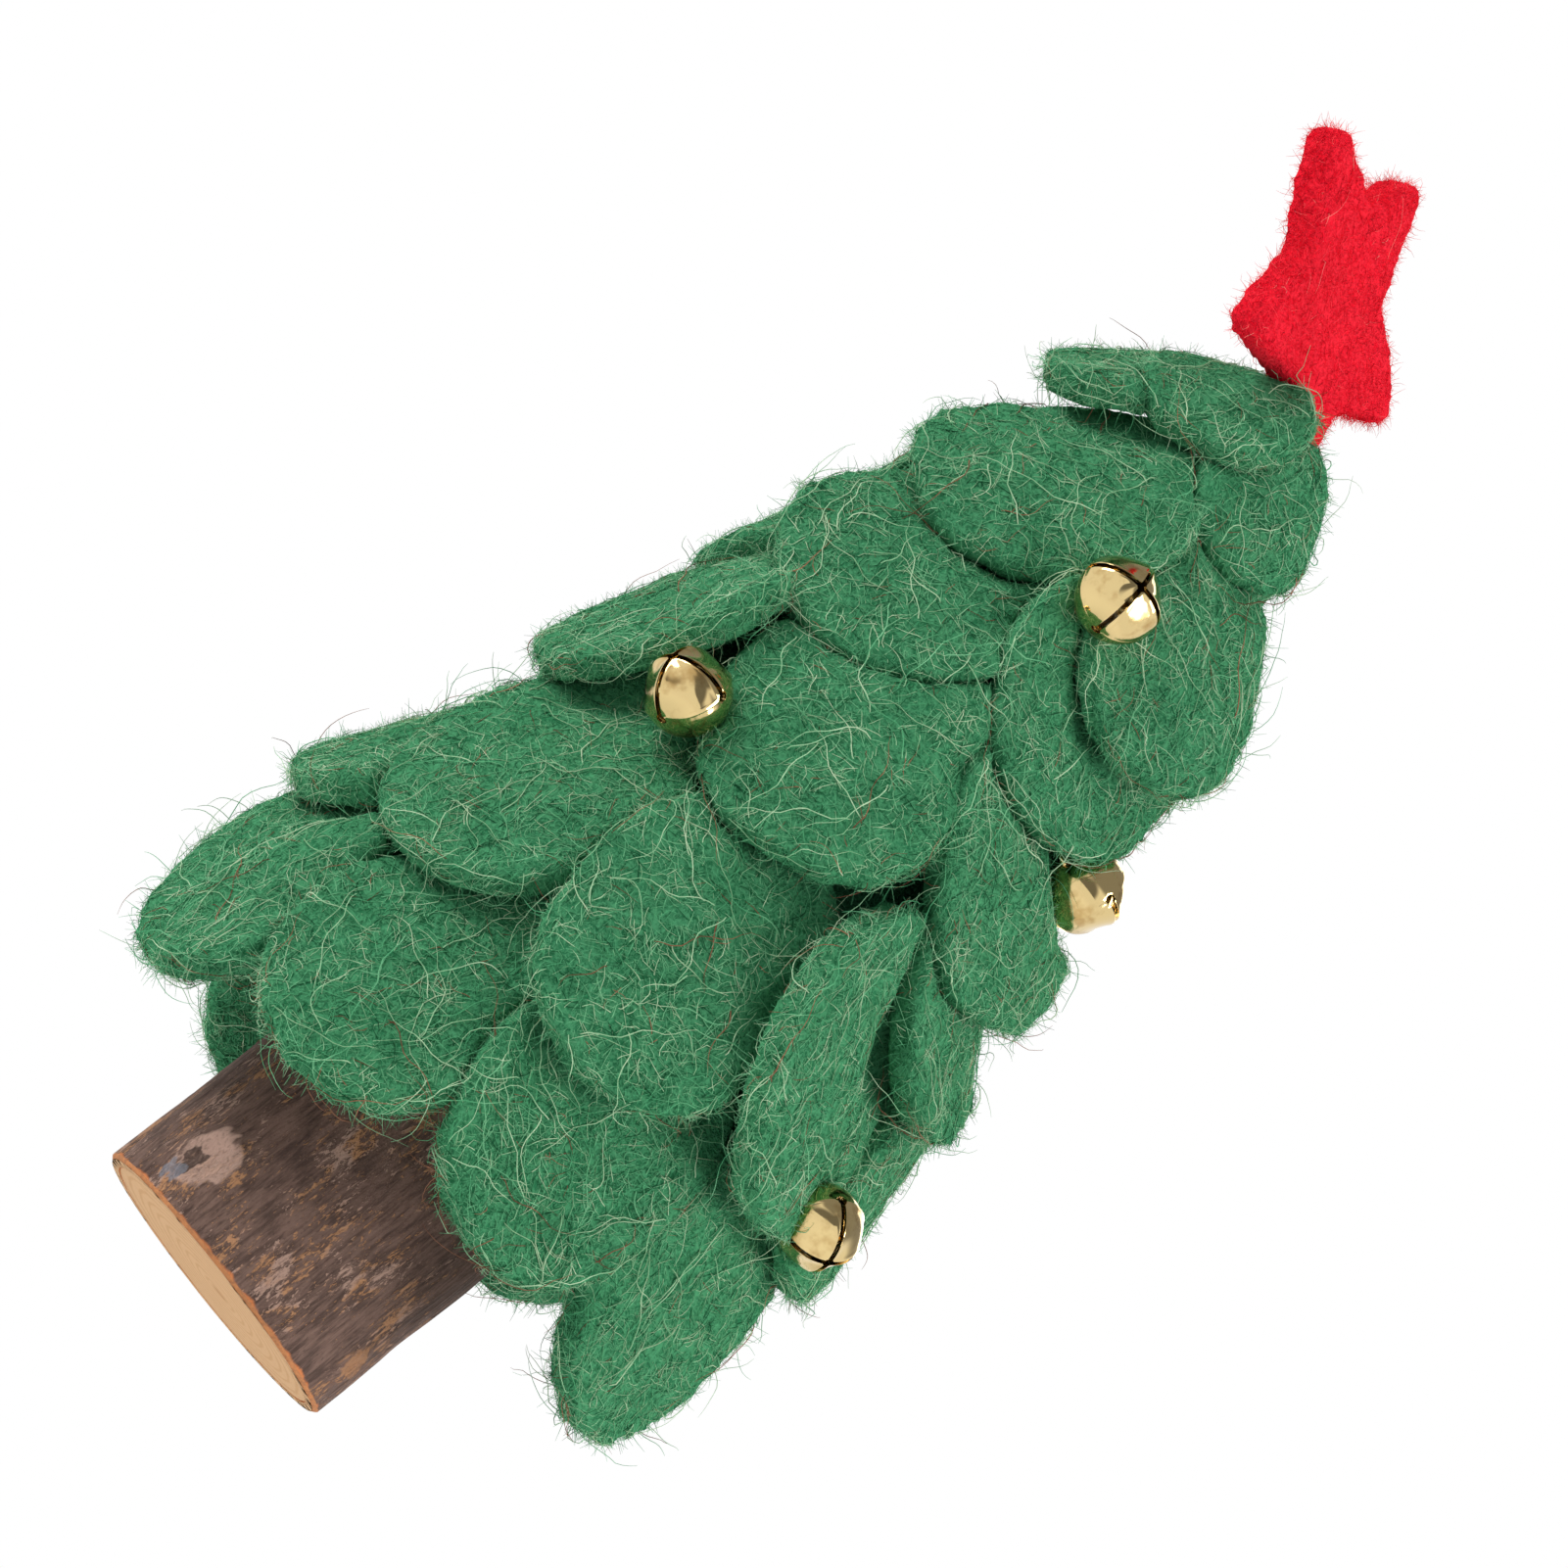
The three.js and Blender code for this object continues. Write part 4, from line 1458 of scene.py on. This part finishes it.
@dataclass
class JingleBells:
    """Small brass bells with crossed slots, their wire loops and the balls inside."""

    finishes: Finishes
    poses: tuple[BellPose, ...] = (
        BellPose(-57, 9, -20), BellPose(6, 23, -36), BellPose(122, 0, 35),
        BellPose(55, -25, 0), BellPose(170, 0, 20), BellPose(218, -8, -15))
    radius: float = 4.0 * MM
    wall: float = 0.4 * MM
    slot: float = 0.5 * MM
    hole_radius: float = 0.5 * MM
    skin_segments: tuple[int, int] = (72, 44)   # round the bell, and from end to end
    petal_flat: float = 0.10            # share of the radius
    petal_square: float = 4.0           # 2 is round, more is squarer
    petal_fall: float = 1.3             # how quickly a petal's flat fades towards its ends
    lip: float = 0.12 * MM
    lip_place: float = 0.3 * MM         # from a slot's middle
    lip_width: float = 0.22 * MM
    bead: float = 0.1 * MM
    bead_width: float = 0.16 * MM
    bead_edge: float = 0.25 * MM        # how far from the bead's middle extra edges run
    bevel: float = 0.11 * MM
    bevel_steps: int = 3
    bevel_turn: float = math.radians(50)    # edges that turn more than this are bevelled
    hole_sides: int = 20
    loop_wire: float = 0.6 * MM
    loop_radius: float = 0.9 * MM
    loop_sides: int = 10
    loop_steps: int = 14
    ball_splits: int = 3
    ball_wear: float = 0.02             # share of the radius
    wear_wave: float = 0.7 * MM

    def petal_middle(self, turn: float) -> float:
        """Tell how near an angle round the bell is to a petal's middle: 1 there, 0 at a slot.

        Args:
            turn: The angle, with the slots at 45 degrees to the axes.

        Returns:
            The share, as a rounded square's sides give it.
        """
        power = self.petal_square
        reach = 2 ** (1 / power) / math.sqrt(2)
        spread = (abs(math.cos(turn)) ** power + abs(math.sin(turn)) ** power) ** (1 / power)
        return (1 - reach / spread) / (1 - reach)

    def dome(self) -> bmesh.types.BMesh:
        """Make the outer skin: four flattish petals above the middle, a smooth bowl below.

        Returns:
            The skin, with its slots' crossing on +Z.
        """
        bm = bmesh.new()
        round_it, end_to_end = self.skin_segments
        bmesh.ops.create_uvsphere(bm, u_segments=round_it, v_segments=end_to_end, radius=self.radius)
        for height in (-self.bead_edge, self.bead_edge):
            bmesh.ops.bisect_plane(bm, geom=[*bm.verts, *bm.edges, *bm.faces], dist=WELD,
                                   plane_co=(0, 0, height), plane_no=(0, 0, 1))
        for vert in bm.verts:
            place = vert.co.normalized()
            growth = 0.0
            if place.z > 0:
                turn = math.atan2(place.y, place.x)
                fall = math.acos(min(place.z, 1.0))
                dent = self.petal_flat * self.radius * self.petal_middle(turn)
                growth -= dent * abs(math.sin(2 * fall)) ** self.petal_fall
                off_slot = min(abs(vert.co.x - vert.co.y), abs(vert.co.x + vert.co.y)) / math.sqrt(2)
                growth += self.lip * ridge(off_slot, self.lip_place, self.lip_width) * math.sin(fall)
            growth += self.bead * ridge(vert.co.z, 0.0, self.bead_width)
            vert.co = place * (self.radius + growth)
        return bm

    def slot_cutter(self) -> bpy.types.Mesh:
        """Make the crossed slots and the holes that end them, as one cutter.

        Returns:
            The cutter.
        """
        bm = bmesh.new()
        across = 3 * self.radius
        for angle in (math.pi / 4, -math.pi / 4):
            turn = Matrix.Rotation(angle, 4, "Z")
            lift = Matrix.Translation((0, 0, self.radius))
            size = Matrix.Diagonal((across, self.slot, 2 * self.radius, 1))
            bmesh.ops.create_cube(bm, size=1.0, matrix=turn @ lift @ size)
            lie = Matrix.Rotation(math.pi / 2, 4, "Y")
            bmesh.ops.create_cone(bm, cap_ends=True, segments=self.hole_sides, radius1=self.hole_radius,
                                  radius2=self.hole_radius, depth=across, matrix=turn @ lie)
        bmesh.ops.create_cone(bm, cap_ends=True, segments=self.hole_sides, radius1=self.hole_radius,
                              radius2=self.hole_radius, depth=2 * self.radius,
                              matrix=Matrix.Translation((0, 0, self.radius)))
        return mesh_from(bm, "slot_cutter")

    def shell_mesh(self) -> bpy.types.Mesh:
        """Make one bell's shell at the origin.

        Returns:
            The mesh.
        """
        skin = mesh_from(self.dome(), "bell_skin")
        shell = modified(skin, "SOLIDIFY", thickness=self.wall, offset=-1.0)
        stand = bpy.data.objects.new("cutter_stand", self.slot_cutter())
        bpy.context.scene.collection.objects.link(stand)
        shell = modified(shell, "BOOLEAN", operation="DIFFERENCE", solver="EXACT", object=stand,
                         use_self=True)
        cutter = stand.data
        bpy.data.objects.remove(stand)
        bpy.data.meshes.remove(cutter)
        shell = modified(shell, "BEVEL", width=self.bevel, segments=self.bevel_steps, limit_method="ANGLE",
                         angle_limit=self.bevel_turn)
        shell.shade_smooth()
        return shell

    def loop_mesh(self) -> bpy.types.Mesh:
        """Make one bell's wire loop, a half ring under the bowl, at the origin.

        Returns:
            The mesh.
        """
        bm = bmesh.new()
        ring = bmesh.ops.create_circle(bm, cap_ends=False, segments=self.loop_sides,
                                       radius=self.loop_wire / 2)["verts"]
        foot = -self.radius + self.wall / 2
        bmesh.ops.translate(bm, verts=ring, vec=(self.loop_radius, 0, foot))
        bmesh.ops.spin(bm, geom=bm.edges[:], cent=(0, 0, foot), axis=(0, 1, 0), dvec=(0, 0, 0),
                       angle=math.pi, steps=self.loop_steps, use_merge=False, use_duplicate=False)
        bmesh.ops.holes_fill(bm, edges=[edge for edge in bm.edges if edge.is_boundary])
        bmesh.ops.recalc_face_normals(bm, faces=bm.faces)
        return mesh_from(bm, "bell_loop")

    def ball_mesh(self, radius: float) -> bpy.types.Mesh:
        """Make one ball at the origin, with the small flats that shaking wears.

        Args:
            radius: The ball's radius.

        Returns:
            The mesh.
        """
        bm = bmesh.new()
        bmesh.ops.create_icosphere(bm, subdivisions=self.ball_splits, radius=radius)
        for vert in bm.verts:
            vert.co *= 1.0 - self.ball_wear * abs(noise.noise(vert.co / self.wear_wave))
        return mesh_from(bm, "bell_ball")

    def place(self, node: str, pose: BellPose) -> Matrix:
        """Work out where a bell sits and how it is turned.

        Args:
            node: Its shell's node.
            pose: Which way its slots look.

        Returns:
            The matrix from the bell at the origin to its place.
        """
        low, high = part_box(node)
        turn, rise = math.radians(pose.turn), math.radians(pose.rise)
        out = Vector((math.sin(turn) * math.cos(rise), -math.cos(turn) * math.cos(rise), math.sin(rise)))
        across = Vector((0, 0, 1)).cross(out).normalized()
        axes = Matrix((across, out.cross(across), out)).transposed().to_4x4()
        roll = Matrix.Rotation(math.radians(pose.roll), 4, "Z")
        return Matrix.Translation((low + high) / 2) @ axes @ roll

    def build(self) -> None:
        """Make every bell."""
        shell, loop = self.shell_mesh(), self.loop_mesh()
        for number, pose in enumerate(self.poses, 1):
            node = f"bell{number}_"
            place = self.place(node + "shell", pose)
            for part, mesh in (("shell", shell), ("loop", loop)):
                copy = mesh.copy()
                copy.transform(place)
                piece = new_piece(f"{node}{part}_brass", copy, [self.finishes.brass])
                settle(piece, TREE_BODY, Slot.BRASS, node + part)
            low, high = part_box(node + "ball")
            ball = self.ball_mesh((high - low).z / 2)
            ball.transform(Matrix.Translation((low + high) / 2))
            piece = new_piece(node + "ball_steel", ball, [self.finishes.steel])
            settle(piece, f"rattle{number}", Slot.STEEL, node + "ball")


@dataclass(frozen=True)
class Lamp:
    """A soft square studio lamp, with the level that it adds to a white surface facing it."""

    name: str
    place: Vector
    size: float
    level: float


@dataclass
class Studio:
    """The camera at the photograph's angle, soft lamps, a pale floor and a white background."""

    target: Vector = Vector((-3.25, 0.0, 68.3)) * MM
    distance: float = 0.8
    from_below: float = math.radians(10.2)
    roll: float = math.radians(51.7)
    lens: float = 204.4
    sensor: float = 36.0
    near: float = 0.01
    ambient: float = 0.54
    overhead: float = 0.3               # how bright the studio is above, where metal mirrors it
    overhead_edges: tuple[float, float] = (0.33, 0.5)   # a ray's height where that starts and is full
    dark_side: float = 0.2              # and on the side that the tree is looked at from
    dark_edges: tuple[float, float] = (0.74, 0.88)      # how straight at that side a ray goes there
    floor_radius: float = 1.6
    floor_drop: float = 0.3 * MM
    floor_sides: int = 96
    floor_tone: float = 0.92
    floor_fade: tuple[float, float] = (0.08, 0.3)       # distances from the tree where it turns white
    lamps: tuple[Lamp, ...] = (
        Lamp("right_key", Vector((1.0, -0.4, 0.45)), size=0.6, level=0.8),
        Lamp("left_key", Vector((-1.05, -0.36, 0.35)), size=0.6, level=0.8),
        Lamp("back", Vector((0.2, 1.0, 0.7)), size=0.9, level=0.4),
        Lamp("under", Vector((0.05, -0.3, -0.75)), size=0.6, level=0.42))

    def ahead(self) -> Vector:
        """Give the way that the camera looks."""
        return Vector((0, math.cos(self.from_below), math.sin(self.from_below)))

    def build_camera(self) -> None:
        """Make the camera: the photo shows the tree turned on its side and a little from below."""
        ahead = self.ahead()
        level_right = Vector((1, 0, 0))
        level_up = level_right.cross(ahead)
        right = level_right * math.cos(self.roll) + level_up * math.sin(self.roll)
        up = level_up * math.cos(self.roll) - level_right * math.sin(self.roll)
        camera = bpy.data.cameras.new("photo_camera")
        camera.lens = self.lens
        camera.sensor_width = self.sensor
        camera.clip_start = self.near
        holder = bpy.data.objects.new("photo_camera", camera)
        turn = Matrix((right, up, -ahead)).transposed().to_4x4()
        holder.matrix_world = Matrix.Translation(self.target - ahead * self.distance) @ turn
        bpy.context.scene.collection.objects.link(holder)
        bpy.context.scene.camera = holder

    def build_lamps(self) -> None:
        """Make the lamps, each turned towards the tree."""
        for lamp in self.lamps:
            light = bpy.data.lights.new(lamp.name, "AREA")
            light.size = lamp.size
            aim = self.target - lamp.place
            light.energy = lamp.level * math.pi ** 2 * aim.length_squared
            holder = bpy.data.objects.new(lamp.name, light)
            turn = aim.to_track_quat("-Z", "Y").to_matrix().to_4x4()
            holder.matrix_world = Matrix.Translation(lamp.place) @ turn
            bpy.context.scene.collection.objects.link(holder)

    def build_world(self) -> None:
        """Make the soft light all round: a white background, and dark sides for metal to mirror."""
        world = bpy.data.worlds.new("white_studio")
        world.use_nodes = True
        bpy.context.scene.world = world
        sheet = NodeSheet(world.node_tree)
        rays = sheet.add("ShaderNodeLightPath").outputs
        seen = sheet.math("MAXIMUM", rays["Is Camera Ray"], rays["Is Transmission Ray"])
        mirrored = rays["Is Glossy Ray"]
        way = sheet.add("ShaderNodeTexCoord").outputs["Generated"]
        height = sheet.add("ShaderNodeSeparateXYZ")
        sheet.feed(height.inputs[0], way)
        towards = sheet.add("ShaderNodeVectorMath", operation="DOT_PRODUCT")
        sheet.feed(towards.inputs[0], way)
        sheet.feed(towards.inputs[1], -self.ahead())
        above = sheet.span(height.outputs["Z"], *self.overhead_edges, 1.0, self.overhead)
        before = sheet.span(towards.outputs["Value"], *self.dark_edges, 1.0, self.dark_side)
        room = sheet.math("MULTIPLY", above, before)
        rest = sheet.math("SUBTRACT", 1.0, sheet.math("MAXIMUM", seen, mirrored))
        lit = sheet.math("MULTIPLY", rest, self.ambient)
        strength = sheet.math("ADD", sheet.math("MULTIPLY", mirrored, room), lit)
        background = world.node_tree.nodes["Background"]
        background.inputs["Color"].default_value = (1, 1, 1, 1)
        sheet.feed(background.inputs["Strength"], sheet.math("MAXIMUM", seen, strength))

    def floor_material(self) -> bpy.types.Material:
        """Make the floor's finish: pale, white further off, and clear from underneath.

        Returns:
            The material.
        """
        material = bpy.data.materials.new("pale_floor")
        material.use_nodes = True
        sheet = NodeSheet(material.node_tree)
        sheet.tree.nodes.clear()
        rays = sheet.add("ShaderNodeLightPath").outputs
        seen = sheet.math("MAXIMUM", rays["Is Camera Ray"], rays["Is Glossy Ray"])
        seen = sheet.math("MAXIMUM", seen, rays["Is Transmission Ray"])
        under = sheet.add("ShaderNodeNewGeometry").outputs["Backfacing"]
        shown = sheet.math("MULTIPLY", seen, sheet.math("SUBTRACT", 1.0, under))
        clear = sheet.math("SUBTRACT", 1.0, shown)
        away = sheet.distance(sheet.object_place(), Vector((0, 0, 0)), (1, 1, 0))
        white = sheet.math("MULTIPLY", seen, sheet.span(away, *self.floor_fade))
        pale = sheet.add("ShaderNodeBsdfDiffuse")
        pale.inputs["Color"].default_value = (*[self.floor_tone] * 3, 1)
        glow = sheet.add("ShaderNodeEmission")
        shades = [pale.outputs[0], glow.outputs[0], sheet.add("ShaderNodeBsdfTransparent").outputs[0]]
        look = shades[0]
        for share, shade in ((white, shades[1]), (clear, shades[2])):
            blend = sheet.add("ShaderNodeMixShader")
            sheet.feed(blend.inputs[0], share)
            sheet.feed(blend.inputs[1], look)
            sheet.feed(blend.inputs[2], shade)
            look = blend.outputs[0]
        sheet.feed(sheet.add("ShaderNodeOutputMaterial").inputs["Surface"], look)
        return material

    def build_floor(self) -> None:
        """Make the floor that the tree stands on."""
        bm = bmesh.new()
        bmesh.ops.create_circle(bm, cap_ends=True, segments=self.floor_sides, radius=self.floor_radius)
        bmesh.ops.translate(bm, verts=bm.verts, vec=(0, 0, -self.floor_drop))
        bmesh.ops.recalc_face_normals(bm, faces=bm.faces)
        for face in bm.faces:
            if face.normal.z < 0:
                face.normal_flip()
        floor = new_piece("floor", mesh_from(bm, "floor"), [self.floor_material()])

    def build(self) -> None:
        """Make the camera, lamps, background and floor."""
        bpy.context.scene.view_settings.view_transform = "Standard"
        self.build_camera()
        self.build_lamps()
        self.build_world()
        self.build_floor()


def main() -> None:
    """Build the studio and the tree."""
    Studio().build()
    finishes = Finishes()
    Branch(finishes).build()
    JingleBells(finishes).build()
    FeltTree(finishes).build()


if __name__ == "__main__":
    main()
